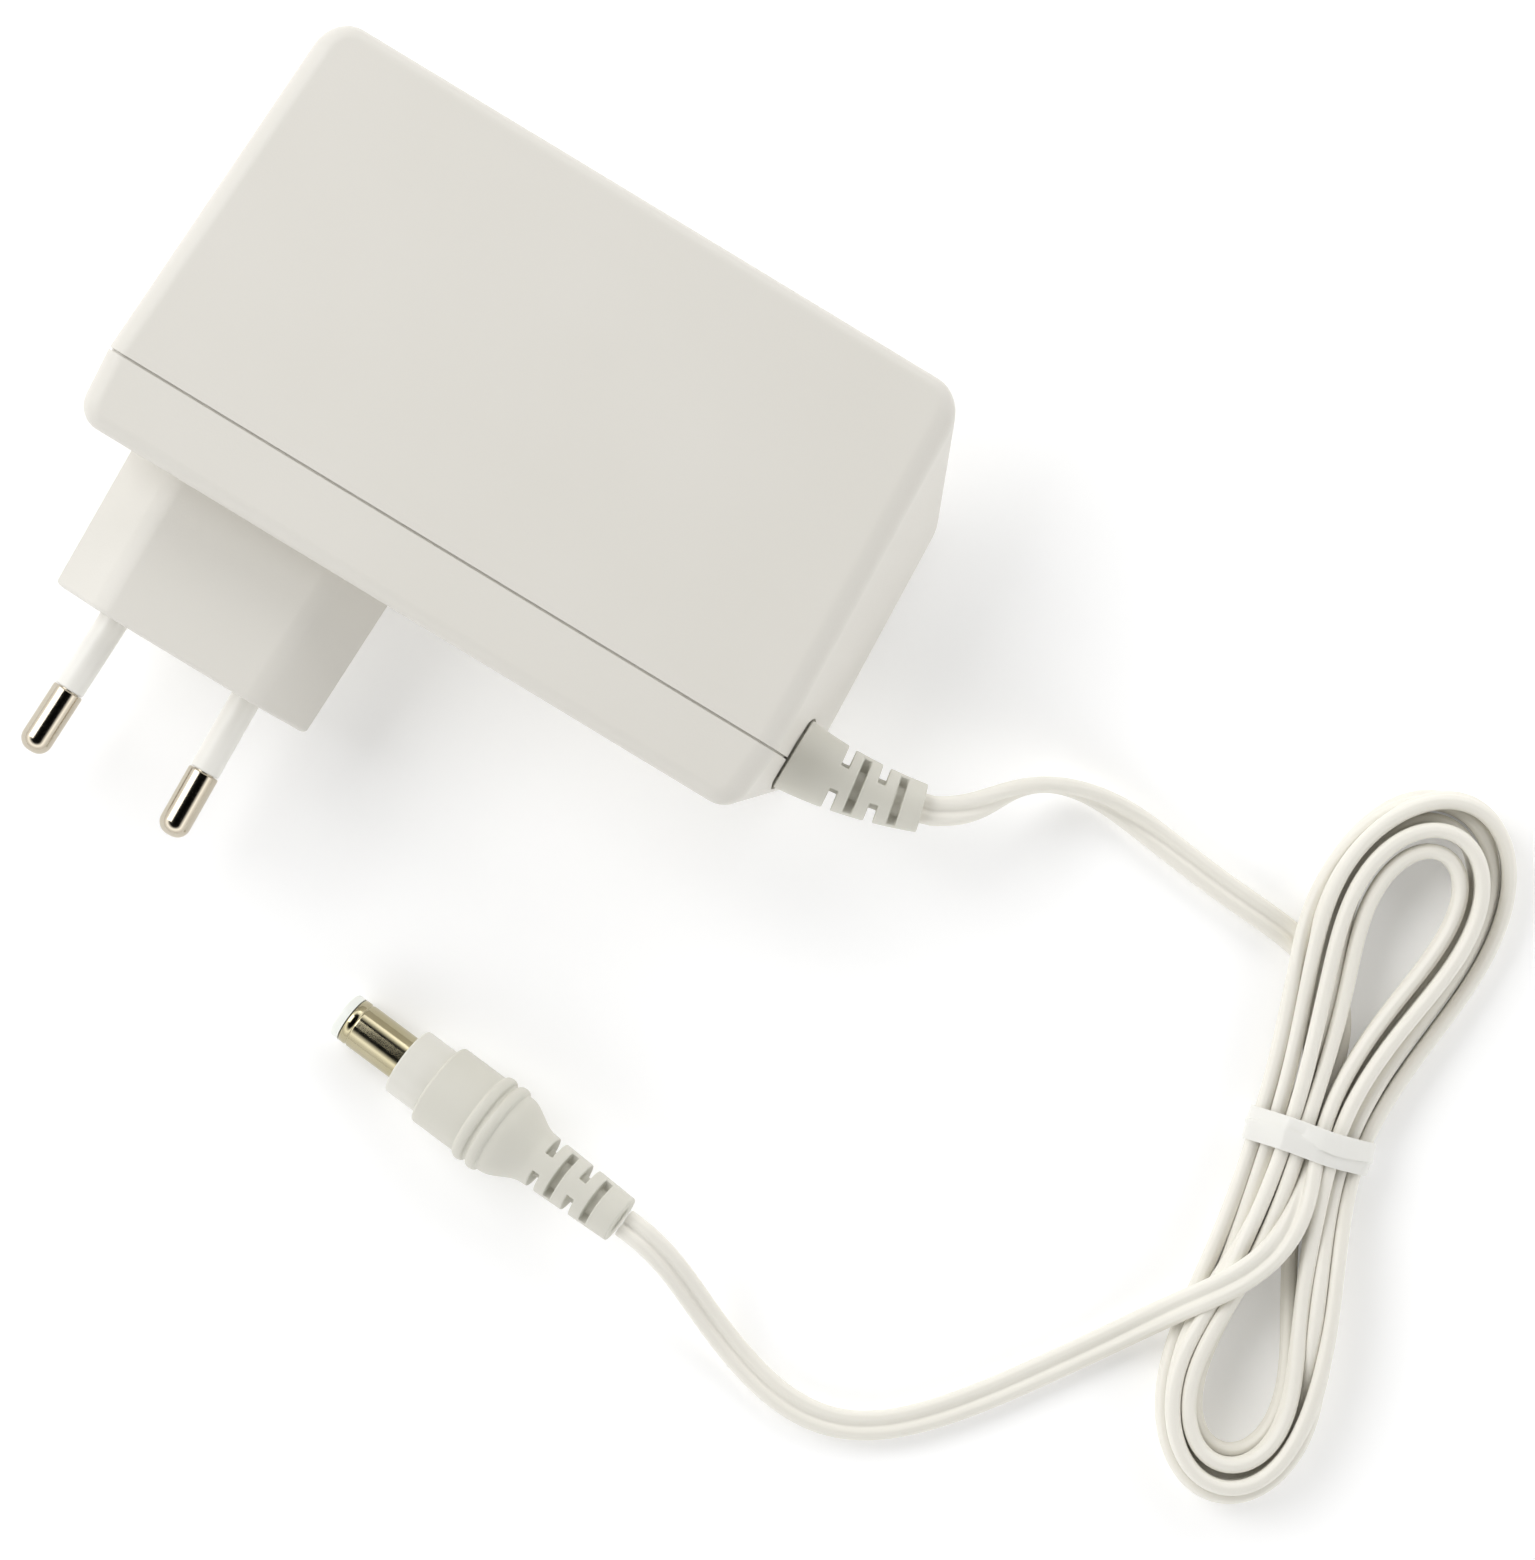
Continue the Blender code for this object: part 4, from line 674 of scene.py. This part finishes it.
# The cord goes into the tie under the turns, and leaves it over them.
UNDER_THE_TURNS = ((116.5, 12.9, 1.1, 0.0), (121.0, 10.2, 1.1, 0.2), (124.4, 5.0, 1.5, 0.6))
OVER_THE_TURNS = ((130.6, -13.5, 7.6, 0.4), (130.6, -19.3, 8.0, 0.2), (128.7, -25.4, 8.0, 0.0),
                  (126.2, -30.0, 6.6, 0.0))

# Settling. The cores are points CORD_STEP apart, and the first and last few don't move.
CORD_STEP = 1.5
FIXED = 3
ROUNDS, SLACK_ROUNDS, LAST_ROUNDS = 400, 60, 14
ROUTE_PULL, SLACK_PULL = 0.04, 0.02
LEVEL_PULL, HANG_PULL = 0.02, 0.03
FALL = 0.004
SPRING_BACK = 0.30
# Points this many steps apart along the cord may touch, if they come this near.
TOUCH_STEPS, TOUCH_NEAR = 6, 2 * CORE + 1.0
# Room inside the tie: half its length along the cord, half its width, its bottom and its top.
TIE_HOLD, TIE_HALF_WIDTH, TIE_BOTTOM, TIE_TOP = 4.0, 7.9, 0.6, 8.7


def unit(vectors):
    return vectors / np.linalg.norm(vectors, axis=-1)[..., None]


def run_along(line):
    """Length of the line up to each of its points."""
    return np.concatenate([[0.0], np.cumsum(np.linalg.norm(np.diff(line, axis=0), axis=1))])


def catmull(points, spacing):
    """Points at an even spacing on a smooth curve through the given ones. Only their first three
    values count as the place."""
    given = np.array(points, float)
    ends = (2 * given[0] - given[1], 2 * given[-1] - given[-2])
    padded = np.vstack([ends[0], given, ends[1]])
    fine = []
    for a, b, c, d in zip(padded, padded[1:], padded[2:], padded[3:]):
        for t in np.linspace(0.0, 1.0, 12, endpoint=False):
            fine.append(0.5 * (2 * b + (c - a) * t + (2 * a - 5 * b + 4 * c - d) * t**2
                               + (3 * b - a - 3 * c + d) * t**3))
    fine = np.array([*fine, given[-1]])
    run = run_along(fine[:, :3])
    places = np.linspace(0.0, run[-1], round(run[-1] / spacing) + 1)
    return np.column_stack([np.interp(places, run, column) for column in fine.T])


def axis_x(y):
    """X of the hank's middle line."""
    return float(np.interp(y, HANK_AXIS_Y, HANK_AXIS_X))


def hank_run(slot, edge, height, top):
    """Points of one run from the tie towards the loop at the top or the bottom. Outer runs spread
    sooner than inner ones. The fourth value, 1, stands the cord on edge."""
    across, level, top_peak, bottom_peak = slot
    peak = top_peak if top else bottom_peak
    places = (-2.5, 3.0, 8.0, 14.0) if top else (-11.5, -17.0, -24.0, -30.0)
    reach = TOP_Y if top else BOTTOM_Y
    target = edge - axis_x(reach)
    widest = 11
    spread = min(1.0, abs(target) / widest)
    for y, rise in zip(places, (0.1, 0.7, 1.0, 0.9)):
        t = (y - TIE_Y) / (reach - TIE_Y)
        ease = t ** (1.9 - 0.8 * spread)
        share = ease * ease * (3 - 2 * ease) * 0.5 + ease * 0.5
        z = level + (height - level) * t
        yield (axis_x(y) + across + (target - across) * share, y, z + rise * max(0, peak - z), 1)


def loop_points(first, last, reach, height, end_height, top):
    """Points of the half loop between two runs; the bottom loop leans with the hank."""
    base = TOP_Y if top else BOTTOM_Y
    middle, half = (first + last) / 2, (first - last) / 2
    for angle in np.radians(np.linspace(0, 180, 8)):
        y = base + (reach - base) * math.sin(angle)
        lean = 0.0 if top else 0.2 * (base - y)
        z = height + (end_height - height) * angle / math.pi
        yield (middle + half * math.cos(angle) + lean, y, z, 1)


def cord_route():
    """The whole route from the boot to the plug, as x, y, z and how far the cord is on edge."""
    turns = [0.0] * 4 + [0.5, 1.0, 1.0, 1.0, 0.8, 0.4] + [0.0] * 6
    route = [(*point, turn) for point, turn in zip(LEAD_FROM_CASE, turns)]
    route += UNDER_THE_TURNS
    for number, (right, bottom, left, top) in enumerate(TURNS):
        if number:
            before = TURNS[number - 1][3]
            route += reversed(list(hank_run(right, before[1], before[4], True)))
        route.append((axis_x(TIE_Y) + right[0], TIE_Y, right[1], 1))
        route += hank_run(right, bottom[0], bottom[3], False)
        route += loop_points(*bottom, False)
        route += reversed(list(hank_run(left, bottom[1], bottom[4], False)))
        route.append((axis_x(TIE_Y) + left[0], TIE_Y, left[1], 1))
        route += hank_run(left, top[0], top[3], True)
        route += loop_points(*top, True)
    before = TURNS[-1][3]
    route += reversed(list(hank_run(LAST_SLOT, before[1], before[4], True)))
    route += [(axis_x(TIE_Y) + LAST_SLOT[0], TIE_Y, LAST_SLOT[1], 0.8), *OVER_THE_TURNS]
    route += [(*point, 0.0) for point in LEAD_TO_PLUG]
    return np.array(route)


def evened(line):
    """Moves the points of each line along it, towards an even spacing."""
    along = unit(line[:, 2:] - line[:, :-2])
    bend = (line[:, :-2] + line[:, 2:]) / 2 - line[:, 1:-1]
    line[:, 1:-1] += 0.5 * (bend * along).sum(2)[:, :, None] * along


def stiffened(line, reach, blend):
    """Evens out how fast each line bends, over the given number of points."""
    n = line.shape[1]
    a, b, c, d, e = (line[:, k * reach:n - (4 - k) * reach] for k in range(5))
    line[:, 2 * reach:-2 * reach] += blend * (4 * (b + d) - a - e - 6 * c) / 16


def squared(cores):
    """Keeps the two cores side by side: neither runs ahead of the other."""
    along = unit(np.gradient((cores[0] + cores[1]) / 2, axis=0))
    ahead = ((cores[1] - cores[0]) * along).sum(1)[:, None] * along
    cores[0] += 0.4 * ahead
    cores[1] -= 0.4 * ahead


def laid_cores(route):
    """The middle lines of both cores along the route, before the cord settles."""
    centre, edge = route[:, :3], np.clip(route[:, 3], 0, 1) * math.pi / 2
    along = unit(np.gradient(centre, axis=0))
    flat = unit(np.cross((0.0, 0.0, 1.0), along))
    up = np.cross(along, flat)
    width = flat * np.cos(edge)[:, None] + up * np.sin(edge)[:, None]
    half = CORE_APART / 2
    return np.stack([centre - width * half, centre + width * half])


def near_pairs(points, index):
    """Pairs of points that may touch, apart from neighbours along the cord."""
    square = (points**2).sum(1)
    apart = square[:, None] + square - 2 * points @ points.T
    close = (apart < TOUCH_NEAR ** 2) & (abs(index[:, None] - index) > TOUCH_STEPS)
    return np.nonzero(np.triu(close))


def spaced(cores):
    """Brings the two cores back to their distance."""
    rung = cores[1] - cores[0]
    size = np.linalg.norm(rung, axis=1)[:, None]
    fix = 0.5 * rung * (1 - CORE_APART / size)
    cores[0] += fix
    cores[1] -= fix


def parted(points, one, two):
    """Pushes apart the cores that press into each other."""
    step = points[two] - points[one]
    size = np.linalg.norm(step, axis=1)
    push = np.clip(2 * CORE - size, 0, None) / np.maximum(size, 0.1)
    move = SPRING_BACK * step * push[:, None]
    for k in range(3):
        points[:, k] += np.bincount(two, move[:, k], len(points))
        points[:, k] -= np.bincount(one, move[:, k], len(points))


def held_by_tie(points):
    """Draws the cores inside the tie together."""
    offset = points[:, :2] - np.array(TIE_PLACE)
    u, v = offset @ np.array(TIE_AXIS), offset @ np.array(TIE_ACROSS)
    held = (abs(u) < TIE_HOLD) & (abs(v) < TIE_ZONE)
    limit = TIE_HALF_WIDTH - CORE
    points[held, :2] += 0.5 * (np.clip(v, -limit, limit) - v)[held, None] * np.array(TIE_ACROSS)
    level = np.clip(points[held, 2], TIE_BOTTOM + CORE, TIE_TOP - CORE)
    points[held, 2] += 0.5 * (level - points[held, 2])


def settled_cores():
    """Both cores of the cord after it has settled: they keep their distance, no core enters
    another by much, and all rest on the floor and inside the tie."""
    route = catmull(cord_route(), CORD_STEP)
    first = laid_cores(route)
    cores = first.copy()
    count = len(route)
    # The free stretches near the boot and the plug keep their height, and the rest sinks.
    hangs = np.clip((route[:, 2] - 3) / 3, 0, 1)
    hangs[30:-45] = 0.0
    index = np.tile(np.arange(count), 2)
    for number in range(ROUNDS):
        if number % 5 == 0:
            one, two = near_pairs(cores.reshape(-1, 3), index)
        pull = SLACK_PULL if number > ROUNDS - SLACK_ROUNDS else ROUTE_PULL
        cores[:, :, :2] += pull * (first - cores)[:, :, :2]
        cores[:, :, 2] += (LEVEL_PULL + HANG_PULL * hangs) * (first - cores)[:, :, 2]
        cores[:, :, 2] -= FALL * (1 - hangs)
        evened(cores)
        stiffened(cores, 1, 0.5)
        stiffened(cores, 2, 0.4)
        squared(cores)
        spaced(cores)
        points = cores.reshape(-1, 3)
        parted(points, one, two)
        held_by_tie(points)
        points[:, 2] = np.maximum(points[:, 2], CORE)
        cores = points.reshape(2, count, 3)
        cores[:, :FIXED] = first[:, :FIXED]
        cores[:, -FIXED:] = first[:, -FIXED:]
    for _ in range(LAST_ROUNDS):
        stiffened(cores, 1, 0.6)
        stiffened(cores, 2, 0.6)
        evened(cores)
        squared(cores)
    cores[:, :FIXED] = first[:, :FIXED]
    cores[:, -FIXED:] = first[:, -FIXED:]
    return cores


def cord_section():
    """Closed outline of the cord, across and through it: two round cores and the web between."""
    right = [(CORE - 0.05 + CORE * math.cos(a), CORE * math.sin(a))
             for a in np.radians(np.linspace(112, -112, 13))]
    groove = [(0.30, -0.70), (0.12, -0.56), (0.0, -0.52), (-0.12, -0.56), (-0.30, -0.70)]
    return right + groove + [(-x, -y) for x, y in right] + [(-x, -y) for x, y in groove]


def cord():
    """The settled cord as one piece, with its cores, its middle line and its length."""
    cores = settled_cores()
    pairs = np.hstack([(cores[0] + cores[1]) / 2, cores[1] - cores[0]])
    fine = catmull(pairs, CORD_STEP / 2)
    centre, width = fine[:, :3], fine[:, 3:]
    along = unit(np.gradient(centre, axis=0))
    width = unit(width - (width * along).sum(1)[:, None] * along)
    through = np.cross(along, width)
    section = cord_section()
    run = run_along(centre)
    bm = bmesh.new()
    rings = []
    for c, w, t in zip(centre, width, through):
        ring = [c + x * w + y * t for x, y in section]
        rings.append([bm.verts.new((x, y, max(z, 0.0))) for x, y, z in ring])
    uv = bm.loops.layers.uv.new("along_cord")
    round_it = np.cumsum([0.0] + [math.dist(p, q) for p, q in
                                  zip(section, section[1:] + section[:1])])
    for i, (low, high) in enumerate(zip(rings, rings[1:])):
        for j in range(len(section)):
            k = (j + 1) % len(section)
            face = bm.faces.new((low[j], low[k], high[k], high[j]))
            for loop, (u, v) in zip(face.loops, ((j, i), (j + 1, i), (j + 1, i + 1), (j, i + 1))):
                loop[uv].uv = (round_it[u] * MM, run[v] * MM)
    bm.faces.new(rings[0])
    bm.faces.new(rings[-1])
    bmesh.ops.recalc_face_normals(bm, faces=bm.faces)
    obj = make_piece("twin_cord", bm, CORD_PVC, "cord_pvc", "cord_from_case", "cord_hank",
                     "cord_to_plug", sharp=80, weighted=False)
    return obj, cores, [placed(c) for c in centre], run[-1] * MM


def cord_tie(cores):
    """Flat nylon strap pulled round the bundle, with the soft ridge along its middle."""
    axis, across, clear = Vector(TIE_AXIS), Vector(TIE_ACROSS), CORE + 0.12
    near = []
    for core in cores:
        for x, y, z in core:
            offset = Vector((x, y)) - Vector(TIE_PLACE)
            if abs(offset @ axis) < TIE_WIDTH / 2 and abs(offset @ across) < TIE_ZONE:
                near += [Vector((offset @ across + clear * math.cos(a), z + clear * math.sin(a)))
                         for a in np.linspace(0, math.tau, 24, endpoint=False)]
    hull = [near[i] for i in geometry.convex_hull_2d(near)]
    ring = catmull([(p.x, p.y, 0.0) for p in [*hull, hull[0]]], 0.6)[:-1, :2]
    # Section of the strap: the place along the cord, and the height above it.
    stations = [(-2.1, 0.0), (-2.1, 0.30), (-1.9, 0.42), (-0.5, 0.46), (-0.25, 0.62), (0.15, 0.64),
                (0.45, 0.44), (1.9, 0.40), (2.1, 0.28), (2.1, 0.0)]
    bm = bmesh.new()
    rings = []
    for i, point in enumerate(ring):
        chord = ring[(i + 1) % len(ring)] - ring[i - 1]
        out = np.array((chord[1], -chord[0])) / np.linalg.norm(chord)
        # The strap is not drawn straight: it wanders along the cord, its ridge most of all.
        sway = 0.35 * math.sin(point[0] * 0.55) + 0.5 * point[0] / 8
        section = []
        for place, lift in stations:
            shift = sway if lift > 0.5 else 0.25 * sway
            v, z = point + out * lift
            spot = Vector(TIE_PLACE) + across * v + axis * (place + shift)
            section.append(bm.verts.new((spot.x, spot.y, max(z, 0.02))))
        rings.append(section)
    for low, high in zip(rings, rings[1:] + rings[:1]):
        for j in range(len(stations)):
            k = (j + 1) % len(stations)
            bm.faces.new((low[j], low[k], high[k], high[j]))
    bmesh.ops.recalc_face_normals(bm, faces=bm.faces)
    return make_piece("strap_tie", bm, TIE_NYLON, "tie_pvc", "cord_tie", sharp=50,
                      weighted=False)


# ---- pieces inside the sealed case, which keep their CAD shape


def inside_finishes():
    """Material of each CAD node that stays, by name."""
    # Extruded PVC of the leads: smooth, with a soft sheen.
    lead = ((0.3, 0.4), 10, 0.3, 0.006)
    brown = surface("extruded_pvc_brown", "5A3420", "643C27", *lead)
    blue = surface("extruded_pvc_blue", "2A5FA8", "3268B0", *lead)
    red = surface("extruded_pvc_red", "B3261E", "BC3229", *lead)
    black = surface("extruded_pvc_black", "1E1E1F", "262627", *lead)
    # Moulded epoxy of the chips: dull black with a fine grit.
    epoxy = surface("moulded_epoxy_black", "202022", "2A2A2B", (0.45, 0.6), 6, 0.25, 0.012)
    # Dipped epoxy: glossy, with the waves of a coat that ran before it set.
    dipped = surface("dipped_epoxy_blue", "2C5FB0", "2453A0", (0.22, 0.4), 4, 1.2, 0.05)
    # Rolled aluminium of the heatsinks: bright, with faint bands from the rolls.
    sheet_metal = banded(
        surface("rolled_aluminium", "C9CACC", "B9BBBD", (0.3, 0.45), 7, 0.5, 0.004, 1.0),
        0.7, 0.003, "X", "9FA1A3", 0.35)
    # PVC sleeve shrunk on to the capacitors' cans: dark, shiny and slightly wavy.
    can = surface("shrunk_pvc_sleeve_navy", "1B2748", "202E54", (0.28, 0.4), 8, 1.5, 0.02)
    # Sintered ferrite: charcoal grey, dull like fired clay.
    ferrite = surface("sintered_ferrite", "35353A", "2B2B2F", (0.5, 0.68), 3, 0.4, 0.02)
    # Enamelled copper wire: its turns show as fine ridges with dark lines between them.
    copper = banded(
        surface("enamelled_copper", "B4622D", "A4531F", (0.22, 0.32), 4, 0.4, 0.003, 1.0),
        0.6, 0.12, "Z", "5E2A10", 0.6)
    # Glass-fibre epoxy board under solder resist: green, with the weave as light bands.
    board = banded(
        surface("glass_epoxy_board", "4E6B33", "5B7A3C", (0.35, 0.5), 9, 0.7, 0.01),
        1.9, 0.02, "X", "6F8C49", 0.35)
    # Polyester tape round the transformer: its layers' edges show.
    tape = banded(
        surface("polyester_tape_yellow", "D9A81F", "E2B42C", (0.25, 0.36), 8, 1.0, 0.01),
        2.4, 0.06, "X", "B5860F", 0.5)
    # Pressed fish paper: grey-green and fibrous.
    paper = surface("pressed_fish_paper", "C9CDC2", "BEC3B6", (0.6, 0.75), 5, 0.5, 0.03)
    # Moulded case of a film capacitor: plain yellow, satin.
    film_case = surface("moulded_film_case_yellow", "DDB321", "E3BC33", (0.35, 0.5), 8, 0.4, 0.012)
    # Phenolic moulding of the bobbin: brownish black and matt.
    phenolic = surface("moulded_phenolic_black", "26231F", "2E2A25", (0.5, 0.62), 6, 0.3, 0.015)
    # Drawn brass of the contact: yellow and bright.
    brass = surface("drawn_brass", "C9A24B", "B98F3A", (0.18, 0.3), 3, 0.4, 0.003, 1.0)
    return {
        "pin_carrier": SLEEVE_NYLON,
        "mains_lead_left": brown, "mains_lead_right": blue,
        "dc_lead_positive": red, "dc_lead_negative": black,
        "circuit_board": board, "insulating_sheet": paper,
        "fuse": epoxy, "bridge_rectifier": epoxy, "switching_transistor": epoxy,
        "controller_chip": epoxy, "optocoupler": epoxy, "rectifier_diode": epoxy,
        "varistor": dipped, "safety_capacitor": dipped, "x_capacitor": film_case,
        "choke_core": ferrite, "output_choke": ferrite,
        "transformer_core_left": ferrite, "transformer_core_right": ferrite,
        "choke_winding_left": copper, "choke_winding_right": copper,
        "bulk_capacitor": can, "output_capacitor_1": can, "output_capacitor_2": can,
        "primary_heatsink": sheet_metal, "secondary_heatsink": sheet_metal,
        "transformer_bobbin": phenolic, "transformer_winding": tape, "dc_contact": brass,
    }


def finish_inside():
    """Gives the CAD pieces that stay their materials."""
    for name, material in inside_finishes().items():
        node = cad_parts[name]
        node.data.materials.clear()
        node.data.materials.append(material)


# ---- studio


# Point of the case's frame that the lights are grouped round and aim at, in mm.
LIT_PLACE = (47.5, -3.4, 0)
AIM_HEIGHT = 10
# Lights: name, place from that point in metres, power in watts, width in metres.
LIGHTS = (("key", (-0.55, 0.06, 0.6), 2.4, 0.5), ("fill", (0.05, 0.75, 0.5), 0.9, 0.6))
# Grey of the sky at heights from level, 0, to straight up, 1.
SKY = ((0.0, 0.48), (0.3, 0.62), (0.55, 1.0), (0.8, 0.0))
SKY_STRENGTH = 1.92
TABLE_GLOW = 0.14
TABLE_HALF = 6.0


def camera():
    """Looks straight down, turned so that the case slants across the view."""
    data = bpy.data.cameras.new("camera")
    data.lens, data.sensor_width = 150, 36
    data.clip_start, data.clip_end = 0.05, 20
    obj = bpy.data.objects.new("camera", data)
    bpy.context.scene.collection.objects.link(obj)
    obj.location = placed((47.5, -3.43, 803))
    obj.rotation_euler = (0, 0, math.radians(31.22))
    bpy.context.scene.camera = obj


def table():
    """White table that glows a little, as a lit white sweep does, so shadows on it stay pale."""
    bm = bmesh.new()
    bmesh.ops.create_grid(bm, x_segments=1, y_segments=1, size=TABLE_HALF)
    mesh = bpy.data.meshes.new("table")
    bm.to_mesh(mesh)
    bm.free()
    top = bpy.data.objects.new("table", mesh)
    bpy.context.scene.collection.objects.link(top)
    # Uncoated white paper: fully matt.
    paper = surface("matt_white_paper", "FCFCFC", "FAFAFA", (0.9, 0.95), 60, 2.0, 0.0)
    shader = paper.node_tree.nodes["Principled BSDF"]
    shader.inputs["Emission Color"].default_value = linear("FFFFFF")
    shader.inputs["Emission Strength"].default_value = TABLE_GLOW
    mesh.materials.append(paper)


def lights():
    """Soft light from the upper left of the view, and a weak one from the back."""
    for name, spot, power, width in LIGHTS:
        light = bpy.data.lights.new(name, "AREA")
        light.energy, light.size = power, width
        lamp = bpy.data.objects.new(name, light)
        bpy.context.scene.collection.objects.link(lamp)
        lamp.location = placed(LIT_PLACE) + Vector(spot)
        aim = placed((*LIT_PLACE[:2], AIM_HEIGHT)) - lamp.location
        lamp.rotation_euler = aim.to_track_quat("-Z", "Y").to_euler()


def sky():
    """Grey sky, brightest from halfway up, and dark overhead where the camera hangs."""
    world = bpy.data.worlds.new("studio")
    bpy.context.scene.world = world
    world.use_nodes = True
    tree = world.node_tree
    place = add(tree, "TexCoord", {}).outputs["Generated"]
    height = add(tree, "SeparateXYZ", {0: place}).outputs["Z"]
    shade = add(tree, "ValToRGB", {0: height})
    ramp = shade.color_ramp
    for spot, level in SKY:
        stop = ramp.elements.new(spot)
        stop.color = (level, level, level, 1.0)
    ramp.elements.remove(ramp.elements[0])
    ramp.elements.remove(ramp.elements[-1])
    back = tree.nodes["Background"]
    tree.links.new(shade.outputs[0], back.inputs["Color"])
    back.inputs["Strength"].default_value = SKY_STRENGTH
    bpy.context.scene.view_settings.view_transform = "Standard"


# ---- whole model

camera()
table()
lights()
sky()
rear_housing()
front_cover()
mains_pins()
boot = strain_relief()
plug = dc_plug()
cable, core_lines, centre_line, cable_length = cord()
tie = cord_tie(core_lines)
finish_inside()
